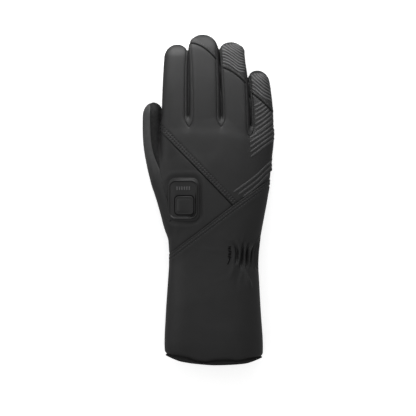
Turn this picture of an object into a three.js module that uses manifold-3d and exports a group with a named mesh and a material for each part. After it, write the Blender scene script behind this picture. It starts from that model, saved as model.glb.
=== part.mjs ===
// A right-hand heated glove of padded softshell, filled as by a hand and lying on its palm.
// Millimetres, +Z out of the back of the hand, fingers along +Y, thumb towards -X.
// The origin is on the surface that it lies on, under the middle of the glove.
import * as THREE from 'three';
import { mergeVertices } from 'three/addons/utils/BufferGeometryUtils.js';
import Module from 'manifold-3d';

const wasm = await Module();
wasm.setup();

// Lengths along the glove
const gauntletLength = 89.6; // lowest point of the hem to the narrowest part of the wrist
const handLength = 122.9; // narrowest part of the wrist to the lower ends of the fourchettes
const webRise = 7.6; // the web between two fingers lies this far beyond the fourchettes' lower ends
const liningProud = 2.9; // how far the lining's rolled edge shows past the hem
const thumbLength = 126.2; // tip of the thumb to where its root leaves the wrist
const thumbTipDrop = 62.1; // the thumb's tip lies this far short of the middle finger's

// Widths, seen from above, and where their middles lie
const wristWidth = 80.6;
const cuffWidth = 89.4;
const wristCentreX = 5.3;
const handCentreX = 8.7;
const thumbTipX = -50.2;
const thumbWidth = 19.5;
const thumbSplay = 28.5; // the root's middle lies this far inward of the tip's

// Heights above the surface
const cuffHeight = 50;
const wristHeight = 45;
const handHeight = 44;
const fingerHeight = 23.5;
const knuckleLift = 8.5; // underside of the fingers at their roots
const thumbHeight = 21.5;

// Fingers: length beyond the fourchettes' lower ends, width at the root, what the tip's width lacks of it,
// sideways lean of the tip, and length of the round end
const indexFinger = { name: 'index', length: 76.3, width: 25.0, taper: 2.7, lean: 1.6, round: 12.4 };
const middleFinger = { name: 'middle', length: 85.5, width: 28.6, taper: 2.3, lean: -2.3, round: 14.8 };
const ringFinger = { name: 'ring', length: 78.3, width: 25.4, taper: 2.9, lean: -4.3, round: 10.5 };
const littleFinger = { name: 'little', length: 52.4, width: 21.4, taper: 1.9, lean: -4.0, round: 11.4 };
const fingers = [indexFinger, middleFinger, ringFinger, littleFinger];
const fingerRootDepth = 24; // how far a finger's form runs back inside the hand
const thumbRound = 12.4;
const fingerGap = 0.8;

// Fourchettes between the fingers: how far the crotch lies towards the wrist, and the widths that show
// to the left and right of the gap
const indexGusset = { name: 'index_middle', drop: 0.3, left: 3.9, right: 3.9 };
const middleGusset = { name: 'middle_ring', drop: 0, left: 3.7, right: 3.2 };
const littleGusset = { name: 'ring_little', drop: 9.0, left: 3.1, right: 3.3 };
const fourchettes = [indexGusset, middleGusset, littleGusset];

// Walls and clearances
const wall = 2.5; // softshell with its fleece
const gatherWall = 4.2; // the wall with the elastic sewn in at the wrist
const seamGap = 0.3; // between panels that are sewn together
const liningThickness = 1.4;
const liningDepth = 26; // how far the lining's visible edge reaches up inside the cuff
const restFlat = 1.6; // how much of a rounded underside is pressed flat

// The gathers of the wrist elastic, on the little finger's side
const gatherDepth = 2.4;
const gatherReach = 15; // half their length along the glove
const gatherAboveWrist = 2;
const gatherLift = 0.8; // the grooves are cut from this far outside the wall

// Width and height of the sections, as shares. at runs from the wrist line to the hem or to the crotch line,
// spread from the wrist's width to the cuff's or the hand's, shift from the wrist's middle to the hand's.
const gauntletRows = [
  { at: 1.08, spread: 0.78, shift: 0.06, top: 0.93, bottom: 0 },
  { at: 0.96, spread: 0.93, shift: 0.04, top: 0.97, bottom: 0 },
  { at: 0.81, spread: 1.0, shift: -0.04, top: 1.0, bottom: 0 },
  { at: 0.59, spread: 0.8, shift: -0.08, top: 0.985, bottom: 0 },
  { at: 0.32, spread: 0.47, shift: -0.1, top: 0.95, bottom: 0 },
  { at: 0.12, spread: 0.17, shift: -0.06, top: 0.915, bottom: 0 },
];
const handRows = [
  { at: 0.12, spread: 0.07, shift: 0.15, top: 1.015, bottom: 0 },
  { at: 0.3, spread: 0.4, shift: 0.2, top: 1.015, bottom: 0.01 },
  { at: 0.47, spread: 0.69, shift: 0.25, top: 1.0, bottom: 0.06 },
  { at: 0.61, spread: 0.87, shift: 0.3, top: 0.975, bottom: 0.1 },
  { at: 0.74, spread: 0.965, shift: 0.42, top: 0.93, bottom: 0.14 },
  { at: 0.86, spread: 1.0, shift: 0.7, top: 0.875, bottom: 0.17 },
  { at: 0.94, spread: 1.0, shift: 0.9, top: 0.8, bottom: 0.19 },
  { at: 1.0, spread: 0.985, shift: 1.0, top: 0.71, bottom: 0.22 },
  { at: 1.04, spread: 0.965, shift: 1.0, top: 0.59, bottom: 0.3 },
  { at: 1.07, spread: 0.94, shift: 1.0, top: 0.46, bottom: 0.42 },
];
// Shares of a finger's taper, height and knuckle lift; at runs from the fourchettes' lower ends to its tip
const fingerRows = [
  { at: -0.5, taper: 1.6, lift: 1.35, height: 0.84 },
  { at: -0.25, taper: 0.7, lift: 1.3, height: 0.92 },
  { at: 0.0, taper: 0, lift: 1.0, height: 1.0 },
  { at: 0.3, taper: 0.08, lift: 0.62, height: 1.0 },
  { at: 0.5, taper: 0.28, lift: 0.36, height: 0.985 },
  { at: 0.7, taper: 0.6, lift: 0.12, height: 0.955 },
  { at: 0.85, taper: 0.85, lift: -0.05, height: 0.92 },
  { at: 1.0, taper: 1.0, lift: -0.15, height: 0.88 },
];
// The thumb, from its tip to its root: middle as a share of the splay, the rest of its width and height
const thumbRows = [
  { at: 0.0, centre: 0.0, width: 0.93, bottom: -0.04, top: 0.9 },
  { at: 0.135, centre: 0.0, width: 1.0, bottom: -0.06, top: 1.0 },
  { at: 0.308, centre: 0.05, width: 1.08, bottom: -0.06, top: 1.13 },
  { at: 0.438, centre: 0.158, width: 1.136, bottom: -0.04, top: 1.26 },
  { at: 0.567, centre: 0.324, width: 1.21, bottom: 0.02, top: 1.42 },
  { at: 0.697, centre: 0.524, width: 1.28, bottom: 0.06, top: 1.58 },
  { at: 0.83, centre: 0.735, width: 1.37, bottom: 0.1, top: 1.68 },
  { at: 0.93, centre: 0.9, width: 1.4, bottom: 0.18, top: 1.62 },
  { at: 1.0, centre: 1.07, width: 1.3, bottom: 0.4, top: 1.4 },
];
// Gathers: angle round the wrist from the little finger's side, in degrees, and depth and reach as shares
const gatherRows = [
  { angle: 62.5, depth: 0.75, up: 0.6, down: 0.6 },
  { angle: 53, depth: 0.9, up: 0.95, down: 0.8 },
  { angle: 43.5, depth: 1.0, up: 0.85, down: 1.0 },
  { angle: 34, depth: 0.95, up: 0.8, down: 0.95 },
  { angle: 24.5, depth: 1.0, up: 1.0, down: 0.8 },
  { angle: 15, depth: 0.9, up: 0.85, down: 1.0 },
  { angle: 5.5, depth: 0.8, up: 0.75, down: 0.75 },
  { angle: -4, depth: 0.9, up: 0.9, down: 0.85 },
  { angle: -13.5, depth: 0.85, up: 0.8, down: 0.75 },
  { angle: -23, depth: 0.6, up: 0.6, down: 0.6 },
];
const gatherPitch = 9.5;

// Seams seen from above: shares of the hand's width from its middle, and of its length from the wrist line
const cuffSeamRows = [
  { across: -1.0, along: -0.265 },
  { across: -0.42, along: 0.066 },
  { across: 0.136, along: 0.42 }, // where the seam beside the control unit meets this one
  { across: 0.472, along: 0.618 },
  { across: 1.1, along: 0.96 },
];
const panelSeamRows = [
  { across: -1.1, along: 1.43 },
  { across: -0.5, along: 0.965 },
  { across: 0.136, along: 0.42 },
  { across: 0.6, along: 0.02 },
];
// Hem and lining edge, seen from above: share of the cuff's width from its middle, and how far each rises
const hemRows = [
  { across: -0.8, hem: 1.7, lining: 2.0 },
  { across: -0.5, hem: 1.03, lining: 1.2 },
  { across: -0.36, hem: 0.82, lining: 0.54 },
  { across: -0.26, hem: 0.56, lining: 0.3 },
  { across: -0.19, hem: 0.22, lining: 0.19 },
  { across: -0.09, hem: 0, lining: 0.07 },
  { across: 0.0, hem: 0.22, lining: 0 },
  { across: 0.15, hem: 0.31, lining: 0.04 },
  { across: 0.25, hem: 0.19, lining: 0.11 },
  { across: 0.35, hem: 0.45, lining: 0.26 },
  { across: 0.5, hem: 0.66, lining: 0.9 },
  { across: 0.8, hem: 1.1, lining: 1.9 },
];
const hemRise = 6.4;
// The seam along the sides, between back and palm: share of the hand's length and of its height
const sideSeamRows = [
  { at: -0.6, height: 0.5 },
  { at: 0.5, height: 0.5 },
  { at: 0.8, height: 0.49 },
  { at: 1.0, height: 0.47 },
  { at: 1.3, height: 0.36 },
  { at: 1.55, height: 0.29 },
  { at: 1.9, height: 0.25 },
];
// Fourchettes: share of the widths that show, at places from the web to the shorter neighbour's tip
const fourchetteRows = [
  { at: 1.02, share: 0.3 },
  { at: 0.83, share: 0.62 },
  { at: 0.55, share: 0.88 },
  { at: 0.03, share: 1.0 },
];
// Seams of the fingertip panels, from left to right: shares of the finger's length, and how far they arch
const capRows = [
  { finger: 1, leftAt: 0.905, rightAt: 0.69, arch: 0.055 },
  { finger: 2, leftAt: 0.7, rightAt: 0.478, arch: 0.045 },
  { finger: 3, leftAt: 0.62, rightAt: 0.245, arch: 0.04 },
];
// The thumb's seam: share of its length from the tip, and of its half width from its middle
const thumbSeamRows = [
  { at: -0.3, across: -0.22 },
  { at: 0.13, across: -0.22 },
  { at: 0.25, across: -0.1 },
  { at: 0.34, across: 0.06 },
  { at: 0.45, across: 0.2 },
  { at: 0.65, across: 0.3 },
  { at: 1.1, across: 0.4 },
];

// Raised ribs on the little finger's side
const ribWidth = 2.0;
const ribRise = 0.8;
const sideRibCount = 13;
const sideRibPitch = 4.4;
const lowestRibDrop = 28.1; // the lowest rib starts this far below the fourchettes' lower ends
const lowestRibSlope = 0.71;
const highestRibSlope = 0.5;
const longRibCount = 3;
const longRibPitch = 3.7;
const longRibStagger = 1.6;
const longRibOffset = 11.4; // above the point where the seams meet
const longRibSlope = 0.79;

// Control unit on the thumb's side of the back: a housing with a recessed face, a key and a row of lights
const control = {
  acrossFromHand: -31.4, // middle of the unit, from the hand's middle
  alongFromWrist: 57.3,
  width: 28.2,
  length: 39.4,
  corner: 6.4,
  flange: 1.1, // how wide and how thick the thin edge round the bezel is
  rise: 3.0,
  bezel: 2.3,
  recess: 0.8,
};
const key = { width: 16.8, length: 18.0, corner: 3.4, right: 0.6, down: 5.7, depth: 0.7, rise: 0.5 };
const lights = { count: 6, pitch: 2.25, width: 0.9, length: 3.0, up: 10.3, thickness: 0.5 };

// Where the wrist, the crotches and the tips lie
const wholeLength = liningProud + gauntletLength + handLength + middleFinger.length;
const wristY = -wholeLength / 2 + liningProud + gauntletLength;
const hemY = wristY - gauntletLength;
const crotchY = wristY + handLength;
const webY = crotchY + webRise;
const thumbTipY = crotchY + middleFinger.length - thumbTipDrop;
const thumbRootY = thumbTipY - thumbLength;
const handWidth = fingers.reduce((sum, f) => sum + f.width + fingerGap, -fingerGap);
const handLeftX = handCentreX - handWidth / 2;

const mix = (a, b, t) => a + (b - a) * t;
const clamp = (v, low, high) => Math.min(high, Math.max(low, v));
const steps = (count) => Array.from({ length: count }, (_, i) => i);

// The left side of a finger's root; past the last finger, the hand's right side and one gap more
const rootLeftX = (index) =>
  fingers.slice(0, index).reduce((sum, f) => sum + f.width + fingerGap, handLeftX);

// Reads every column of a table at a place along it, on a smooth curve through the rows
function readRows(rows, column, at) {
  const last = rows.length - 1;
  let i = 0;
  while (i < last - 1 && at > rows[i + 1][column]) i++;
  const a = rows[Math.max(i - 1, 0)];
  const b = rows[i];
  const c = rows[i + 1];
  const d = rows[Math.min(i + 2, last)];
  const span = c[column] - b[column];
  const t = clamp((at - b[column]) / span, 0, 1);
  const read = {};
  for (const name of Object.keys(b)) {
    const slopeB = ((c[name] - a[name]) / (c[column] - a[column])) * span;
    const slopeC = ((d[name] - b[name]) / (d[column] - b[column])) * span;
    read[name] =
      b[name] * (2 * t ** 3 - 3 * t ** 2 + 1) +
      slopeB * (t ** 3 - 2 * t ** 2 + t) +
      c[name] * (3 * t ** 2 - 2 * t ** 3) +
      slopeC * (t ** 3 - t ** 2);
  }
  return read;
}

// The crotch beside the little finger lies lower, so the hand's end is drawn back on that side
function drawBack(x, y) {
  const across = THREE.MathUtils.smoothstep(x, rootLeftX(2), rootLeftX(3));
  const along = clamp(1 - (webY - y) / (handLength * 0.25), 0, 1);
  return littleGusset.drop * across * along;
}

// A limb is a list of stations along Y, each with the middle, half width, bottom and top of its section.
// A limb with a tip ends in a round cap there.
function handLimb() {
  const stations = [];
  for (const row of gauntletRows)
    stations.push({
      y: wristY - row.at * gauntletLength,
      centre: mix(wristCentreX, handCentreX, row.shift),
      half: mix(wristWidth, cuffWidth, row.spread) / 2,
      bottom: row.bottom * cuffHeight - restFlat,
      top: row.top * cuffHeight,
    });
  stations.push({
    y: wristY,
    centre: wristCentreX,
    half: wristWidth / 2,
    bottom: -restFlat,
    top: wristHeight,
  });
  for (const row of handRows)
    stations.push({
      y: wristY + row.at * handLength,
      centre: mix(wristCentreX, handCentreX, row.shift),
      half: mix(wristWidth, handWidth, row.spread) / 2,
      bottom: row.bottom * handHeight - restFlat * clamp(1 - row.at, 0, 1),
      top: row.top * handHeight,
    });
  return { stations, square: 2.4, drawBack };
}

function fingerLimb(index) {
  const finger = fingers[index];
  const rootX = rootLeftX(index) + finger.width / 2;
  const stations = fingerRows.map((row) => ({
    y: crotchY + row.at * finger.length,
    centre: rootX + finger.lean * Math.max(row.at, 0) ** 1.8,
    half: (finger.width - finger.taper * row.taper) / 2,
    bottom: row.lift * knuckleLift,
    top: row.lift * knuckleLift + row.height * fingerHeight,
  }));
  return { stations, square: 2.05, tip: crotchY + finger.length, round: finger.round };
}

function thumbLimb() {
  const stations = thumbRows.map((row) => ({
    y: thumbTipY - row.at * thumbLength,
    centre: thumbTipX + row.centre * thumbSplay,
    half: (thumbWidth * row.width) / 2,
    bottom: row.bottom * thumbHeight,
    top: row.top * thumbHeight,
  }));
  stations.reverse();
  return { stations, square: 2.05, tip: thumbTipY, round: thumbRound };
}

const hand = handLimb();
const fingerLimbs = fingers.map((_, i) => fingerLimb(i));
const thumb = thumbLimb();

// The section of a limb at y, grown outward by a distance, or shrunk where that is negative
function sectionAt(limb, y, grow = 0) {
  const s = readRows(limb.stations, 'y', y);
  let round = 1;
  if (limb.tip !== undefined) {
    const past = clamp((y - (limb.tip - limb.round)) / (limb.round + grow), 0, 1);
    round = Math.sqrt(1 - past ** 2.15);
  }
  const middle = mix(s.bottom, s.top, 0.48);
  return {
    centre: s.centre,
    half: (s.half + grow) * round,
    middle,
    up: (s.top - middle + grow) * round,
    down: (middle - s.bottom + grow) * round,
  };
}
// The same without the rounding of the tip, for what runs along the limb
const shaftAt = (limb, y) => sectionAt(limb, Math.min(y, limb.tip - limb.round));

// A point of a limb's surface at an angle from +X towards +Z, in degrees, pressed flat where it rests
function surfacePoint(limb, y, degrees, grow = 0) {
  const s = sectionAt(limb, y, grow);
  const c = Math.cos(THREE.MathUtils.degToRad(degrees));
  const v = Math.sin(THREE.MathUtils.degToRad(degrees));
  const bulge = (t) => Math.sign(t) * Math.abs(t) ** (2 / limb.square);
  const x = s.centre + s.half * bulge(c);
  const z = s.middle + (v > 0 ? s.up : s.down) * bulge(v);
  const back = limb.drawBack ? limb.drawBack(x, y) : 0;
  return new THREE.Vector3(x, y - back, Math.max(z, -grow));
}

const evenAngles = (count) => steps(count).map((i) => (360 * i) / count);

// A closed skin through rings of points, lowest y first, each ring turning from +X towards +Z
function skin(rings, tipPoint) {
  const count = rings[0].length;
  const points = rings.flat();
  const centreOf = (ring) =>
    ring.reduce((sum, p) => sum.add(p), new THREE.Vector3()).divideScalar(ring.length);
  const rootIndex = points.push(centreOf(rings[0])) - 1;
  const tipIndex = points.push(tipPoint ?? centreOf(rings[rings.length - 1])) - 1;
  const lastRing = (rings.length - 1) * count;
  const index = [];
  for (let j = 0; j < count; j++) {
    const k = (j + 1) % count;
    for (let i = 0; i < lastRing; i += count)
      index.push(i + j, i + count + j, i + k, i + k, i + count + j, i + count + k);
    index.push(rootIndex, j, k);
    index.push(tipIndex, lastRing + k, lastRing + j);
  }
  return new THREE.BufferGeometry().setFromPoints(points).setIndex(index);
}

function limbSkin(limb, heights, sides, grow = 0) {
  const rings = heights.map((y) => evenAngles(sides).map((a) => surfacePoint(limb, y, a, grow)));
  if (limb.tip === undefined) return skin(rings);
  const nose = sectionAt(limb, limb.tip + grow, grow);
  return skin(rings, new THREE.Vector3(nose.centre, limb.tip + grow, Math.max(nose.middle, 0)));
}

// Places along a limb with a tip: even steps up to the round end, then closer ones round it
function tipHeights(limb, root, count, bends, grow = 0) {
  const start = limb.tip - limb.round;
  return [
    ...steps(count).map((i) => mix(root, start, i / count)),
    ...bends.map((t) => start + t * (limb.round + grow)),
  ];
}

// manifold-3d joins and cuts closed geometries
function solidOf(geometry) {
  const bare = geometry.clone();
  bare.deleteAttribute('normal');
  bare.deleteAttribute('uv');
  const merged = mergeVertices(bare, 1e-4);
  return new wasm.Manifold(
    new wasm.Mesh({
      numProp: 3,
      vertProperties: new Float32Array(merged.attributes.position.array),
      triVerts: new Uint32Array(merged.index.array),
    }),
  );
}

function geometryOf(solid) {
  const mesh = solid.getMesh();
  const geometry = new THREE.BufferGeometry();
  geometry.setAttribute('position', new THREE.BufferAttribute(mesh.vertProperties, 3));
  geometry.setIndex(new THREE.BufferAttribute(mesh.triVerts, 1));
  geometry.computeVertexNormals();
  return geometry;
}

const joined = (solids) => solids.reduce((sum, solid) => sum.add(solid));
// The main body of a cut piece, without the crumbs that a slanting cut can leave
function mainBody(solid) {
  return solid.decompose().reduce((best, body) => (body.volume() > best.volume() ? body : best));
}

// Cutters: outlines drawn from above and cut right through, and one drawn from the side
const cutterLow = -20;
const cutterTall = 100;
const far = 250;

function planCutter(outline) {
  const shape = new THREE.Shape(outline.map(([x, y]) => new THREE.Vector2(x, y)));
  const geometry = new THREE.ExtrudeGeometry(shape, { depth: cutterTall, bevelEnabled: false });
  return solidOf(geometry.translate(0, 0, cutterLow));
}

// All that lies on one side of a line drawn from above, less half a seam's gap
function sideOfLine(line, [towardX, towardY], gap = seamGap) {
  const near = line.map(([x, y]) => [x + (towardX * gap) / 2, y + (towardY * gap) / 2]);
  const away = near.map(([x, y]) => [x + towardX * far, y + towardY * far]);
  return planCutter([...near, ...away.reverse()]);
}

// All that lies above or below the side seam
function sideOfSeam(above) {
  const gap = (above ? 1 : -1) * (seamGap / 2);
  const line = sideSeamRows.map((r) => [wristY + r.at * handLength, r.height * handHeight + gap]);
  const level = above ? far : -far;
  const outline = [...line, [line[line.length - 1][0], level], [line[0][0], level]];
  const shape = new THREE.Shape(outline.map(([y, z]) => new THREE.Vector2(y, z)));
  const geometry = new THREE.ExtrudeGeometry(shape, { depth: 2 * far, bevelEnabled: false });
  const axes = new THREE.Matrix4().makeBasis(
    new THREE.Vector3(0, 1, 0),
    new THREE.Vector3(0, 0, 1),
    new THREE.Vector3(1, 0, 0),
  );
  return solidOf(geometry.applyMatrix4(axes).translate(-far, 0, 0));
}

// Outer form of the glove, also grown outward for what lies on it
const handHeights = [
  ...[1.04, 0.9, 0.77, 0.63, 0.4, 0.2].map((at) => wristY - at * gauntletLength),
  wristY,
  ...[0.14, 0.27, 0.4, 0.54, 0.67, 0.78, 0.87, 0.94, 1.0].map((at) => wristY + at * handLength),
  mix(crotchY, webY, 0.6),
  webY,
];
function handSkin(grow = 0) {
  return solidOf(limbSkin(hand, handHeights, 26, grow));
}
const tipBends = [0, 0.45, 0.78, 0.95];
function fingerSkin(limb, grow = 0) {
  const heights = tipHeights(limb, crotchY - fingerRootDepth, 4, tipBends, grow);
  return solidOf(limbSkin(limb, heights, 14, grow));
}
function thumbSkin(grow = 0) {
  const heights = tipHeights(thumb, thumbRootY, 7, tipBends, grow);
  return solidOf(limbSkin(thumb, heights, 14, grow));
}

// The hollow: the hand, the fingers and the thumb, each smaller by its wall
const hollowHeights = [
  ...[1.2, 1.03, 0.9, 0.77, 0.63, 0.3].map((at) => wristY - at * gauntletLength),
  wristY,
  ...[0.2, 0.4, 0.6, 0.78].map((at) => wristY + at * handLength),
  crotchY - wall,
  webY - wall,
];
function handHollow() {
  const rings = hollowHeights.map((y) => {
    const inset = y === wristY ? gatherWall : wall;
    return evenAngles(22).map((a) => surfacePoint(hand, y, a, -inset));
  });
  return solidOf(skin(rings));
}
const hollowBends = [0, 0.65];
function fingerHollow(limb) {
  const heights = tipHeights(limb, crotchY - fingerRootDepth + wall, 3, hollowBends, -wall);
  return solidOf(limbSkin(limb, heights, 8, -wall));
}
function thumbHollow() {
  const heights = tipHeights(thumb, thumbRootY + wall, 5, hollowBends, -wall);
  return solidOf(limbSkin(thumb, heights, 8, -wall));
}

// Lines seen from above
const handPoint = (row) => [
  handCentreX + row.across * handWidth,
  wristY + row.along * handLength,
];
const cuffSeam = cuffSeamRows.map(handPoint);
const panelSeam = panelSeamRows.map(handPoint);
const seamMeet = panelSeam[2];
const hemLine = hemRows.map((row) => [wristCentreX + row.across * cuffWidth, hemY + hemRise * row.hem]);
// Where the lining's edge lies, from its lowest point
function liningAt(x, past) {
  const row = readRows(hemRows, 'across', (x - wristCentreX) / cuffWidth);
  const t = clamp(past / liningProud, 0, 1);
  return hemY - past + hemRise * mix(row.hem, row.lining, t);
}
const thumbSeam = thumbSeamRows.map((row) => {
  const y = thumbTipY - row.at * thumbLength;
  const s = shaftAt(thumb, Math.max(y, thumbRootY));
  return [s.centre + row.across * s.half, y];
});

// The middle of the gap between two neighbouring fingers
function gapX(index, y) {
  const a = shaftAt(fingerLimbs[index], y);
  const b = shaftAt(fingerLimbs[index + 1], y);
  return (a.centre + a.half + b.centre - b.half) / 2;
}

// A fourchette is a strip up both sides of a gap, which shows with a pointed arch at its lower end
function fourchetteCutter(index, grow) {
  const gusset = fourchettes[index];
  const low = crotchY - gusset.drop;
  const web = low + webRise;
  const high = Math.min(fingerLimbs[index].tip, fingerLimbs[index + 1].tip);
  const rows = fourchetteRows.map((row) => ({ y: mix(web, high, row.at), share: row.share }));
  for (const t of [0.35, 0.68, 0.9])
    rows.push({ y: mix(web, low, t), share: (1 - t ** 1.3) ** 0.75 });
  const left = rows.map(({ y, share }) => [gapX(index, y) - gusset.left * share - grow, y]);
  const right = rows.map(({ y, share }) => [gapX(index, y) + gusset.right * share + grow, y]);
  return planCutter([...left, [gapX(index, low), low - grow], ...right.reverse()]);
}

// The seam of a fingertip panel, or a line a distance above it
function capLine(row, across, above = 0) {
  const limb = fingerLimbs[row.finger];
  const length = fingers[row.finger].length;
  return across.map((t) => {
    const share = mix(row.leftAt, row.rightAt, (t + 1) / 2) + row.arch * (1 - t * t);
    const y = crotchY + share * length;
    const s = shaftAt(limb, y);
    return [s.centre + t * s.half, y + above];
  });
}
function capCutter(row, above) {
  const line = capLine(row, [-1.25, -0.7, -0.2, 0.3, 0.75, 1.25], above);
  const top = fingerLimbs[row.finger].tip + far / 10;
  return planCutter([...line, [line[line.length - 1][0], top], [line[0][0], top]]);
}

// A gather: a groove with a sharp bottom, deepest and widest at its middle
function gatherCutter(fold) {
  const rings = [-1, -0.55, 0, 0.55, 1].map((t) => {
    const full = 1 - t * t;
    const reach = gatherReach * (t > 0 ? fold.up : fold.down);
    const y = wristY + gatherAboveWrist + reach * t;
    const spread = gatherPitch * mix(0.12, 0.46, full);
    return [
      surfacePoint(hand, y, fold.angle - spread, gatherLift),
      surfacePoint(hand, y, fold.angle + spread, gatherLift),
      surfacePoint(hand, y, fold.angle, -gatherDepth * fold.depth * full),
    ];
  });
  return solidOf(skin(rings));
}

// Ribs: bands along lines seen from above
const band = (line, width) =>
  planCutter([
    ...line.map(([x, y]) => [x, y - width / 2]),
    ...line.map(([x, y]) => [x, y + width / 2]).reverse(),
  ]);

function sideRibs() {
  const crotch = crotchY - littleGusset.drop;
  const ribs = steps(sideRibCount).map((i) => {
    const y = crotchY - lowestRibDrop + i * sideRibPitch;
    const gap = gapX(2, y);
    const x = y < crotch ? gap - fingerGap : gap + littleGusset.right + fingerGap;
    const run = rootLeftX(4) + ribRise - x;
    return [[x, y], [x + run, y + run * mix(lowestRibSlope, highestRibSlope, i / sideRibCount)]];
  });
  // each long stripe starts one pitch below the last one and a little further along it
  const turn = Math.atan(longRibSlope);
  const stepX = longRibPitch * Math.sin(turn) + longRibStagger * Math.cos(turn);
  const stepY = longRibStagger * Math.sin(turn) - longRibPitch * Math.cos(turn);
  for (const i of steps(longRibCount)) {
    const x = seamMeet[0] + i * stepX;
    const y = seamMeet[1] + longRibOffset + i * stepY;
    const run = rootLeftX(4) + ribRise - x;
    ribs.push([[x, y], [x + run, y + run * longRibSlope]]);
  }
  const slant = Math.cos(turn);
  const raised = handSkin(ribRise).add(fingerSkin(fingerLimbs[3], ribRise));
  return joined(ribs.map((line) => band(line, ribWidth / slant)))
    .subtract(fourchetteCutter(2, seamGap))
    .subtract(capCutter(capRows[2], 0))
    .intersect(raised);
}

const aboveSeam = sideOfSeam(true);

// The sewn shell of the hand and of the thumb
const gathers = joined(gatherRows.map(gatherCutter));
const handForm = joined([
  handSkin().subtract(gathers),
  ...fingerLimbs.map((limb) => fingerSkin(limb)),
]);
const hollow = joined([handHollow(), ...fingerLimbs.map(fingerHollow), thumbHollow()]);
const handShell = handForm
  .add(sideRibs().intersect(aboveSeam))
  .subtract(hollow)
  .subtract(thumbSkin(seamGap));
const thumbShell = thumbSkin().subtract(hollow).subtract(handForm);

// The shell cut into its sewn panels
const seamTowardsFingers = [0.68, 0.73]; // square to the seam beside the control unit
const gauntlet = handShell
  .intersect(sideOfLine(cuffSeam, [0, -1]))
  .intersect(sideOfLine(hemLine, [0, 1]));
const hands = handShell.intersect(sideOfLine(cuffSeam, [0, 1]));
const fourchettePieces = fourchettes.map((_, i) => hands.intersect(fourchetteCutter(i, 0)));
const handPanels = fourchettes.reduce(
  (rest, _, i) => rest.subtract(fourchetteCutter(i, seamGap)),
  hands,
);
const palm = handPanels.intersect(sideOfSeam(false));
const back = handPanels.intersect(aboveSeam);
const wristPanel = back.intersect(sideOfLine(panelSeam, seamTowardsFingers.map((v) => -v)));
const fingerBack = back.intersect(sideOfLine(panelSeam, seamTowardsFingers));
const caps = capRows.map((row) => fingerBack.intersect(capCutter(row, seamGap)));
const handBack = capRows.reduce((rest, row) => rest.subtract(capCutter(row, 0)), fingerBack);
const thumbOuter = thumbShell.intersect(sideOfLine(thumbSeam, [-1, 0]));
const thumbInner = thumbShell.intersect(sideOfLine(thumbSeam, [1, 0]));

// The lining's edge: a sleeve inside the cuff that rolls out past the hem
const liningRows = [
  { past: liningProud, outside: 1.4, inside: wall },
  { past: liningProud * 0.6, outside: 0.4, inside: wall + seamGap },
  { past: 1.1, outside: 0.9, inside: wall + seamGap + liningThickness },
  { past: 0.5, outside: wall + seamGap, inside: wall + seamGap + liningThickness },
  { past: -liningDepth, outside: wall + seamGap, inside: wall + seamGap + liningThickness },
];
function liningRings(side) {
  return liningRows.map((row) =>
    evenAngles(22).map((a) => {
      const { x } = surfacePoint(hand, hemY - row.past, a, -row[side]);
      return surfacePoint(hand, liningAt(x, row.past), a, -row[side]);
    }),
  );
}
function cuffLining() {
  const inside = liningRings('inside');
  const moved = (ring, dy) => ring.map((p) => p.clone().setY(p.y + dy));
  const ends = [moved(inside[0], -wall), moved(inside[inside.length - 1], wall)];
  const hole = solidOf(skin([ends[0], ...inside, ends[1]]));
  return solidOf(skin(liningRings('outside'))).subtract(hole);
}

// The control unit follows the glove's surface: patches between two distances above it
const controlX = handCentreX + control.acrossFromHand;
const controlY = wristY + control.alongFromWrist;
const padForms = new Map();
function padForm(grow) {
  if (!padForms.has(grow)) padForms.set(grow, handSkin(grow).add(thumbSkin(grow)));
  return padForms.get(grow);
}
function roundedOutline(x, y, width, length, corner) {
  const points = [];
  for (const [sx, sy, from] of [[1, 1, 0], [-1, 1, 90], [-1, -1, 180], [1, -1, 270]])
    for (const turn of [0, 45, 90]) {
      const a = THREE.MathUtils.degToRad(from + turn);
      points.push([
        x + sx * (width / 2 - corner) + corner * Math.cos(a),
        y + sy * (length / 2 - corner) + corner * Math.sin(a),
      ]);
    }
  return points;
}
function patch(outline, low, high) {
  return planCutter(outline).intersect(aboveSeam).intersect(padForm(high)).subtract(padForm(low));
}
const unitOutline = (inset) =>
  roundedOutline(
    controlX,
    controlY,
    control.width - 2 * inset,
    control.length - 2 * inset,
    control.corner - inset / 2,
  );
const keyOutline = (grow) =>
  roundedOutline(
    controlX + key.right,
    controlY - key.down,
    key.width + 2 * grow,
    key.length + 2 * grow,
    key.corner + grow,
  );
const faceRise = control.rise - control.recess;
function controlHousing() {
  const flange = patch(unitOutline(0), seamGap, control.flange);
  const bezel = patch(unitOutline(control.flange), seamGap, control.rise);
  const face = patch(unitOutline(control.flange + control.bezel), faceRise, control.rise + 1);
  const pocket = patch(keyOutline(seamGap), faceRise - key.depth, control.rise + 1);
  return flange.add(bezel).subtract(face).subtract(pocket);
}
const controlKey = () => patch(keyOutline(0), faceRise - key.depth + seamGap, faceRise + key.rise);
function levelLight(i) {
  const x = controlX + (i - (lights.count - 1) / 2) * lights.pitch;
  const y = controlY + lights.up;
  const [w, l] = [lights.width / 2, lights.length / 2];
  const outline = [[x - w, y - l], [x + w, y - l], [x + w, y + l], [x - w, y + l]];
  return patch(outline, faceRise + seamGap, faceRise + seamGap + lights.thickness);
}

const group = new THREE.Group();
const cloth = { roughness: 0.85, metalness: 0 };
const rubber = { roughness: 0.5, metalness: 0 };
const materials = {
  shell: new THREE.MeshStandardMaterial({ color: 0x323233, ...cloth }),
  gusset: new THREE.MeshStandardMaterial({ color: 0x2c2c2d, ...cloth }),
  tip: new THREE.MeshStandardMaterial({ color: 0x3a3a3b, ...cloth }),
  palm: new THREE.MeshStandardMaterial({ color: 0x262627, ...cloth }),
  lining: new THREE.MeshStandardMaterial({ color: 0x222223, ...cloth }),
  control: new THREE.MeshStandardMaterial({ color: 0x2b2b2c, ...rubber }),
  light: new THREE.MeshStandardMaterial({ color: 0x6a6a6c, ...rubber }),
};

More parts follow.
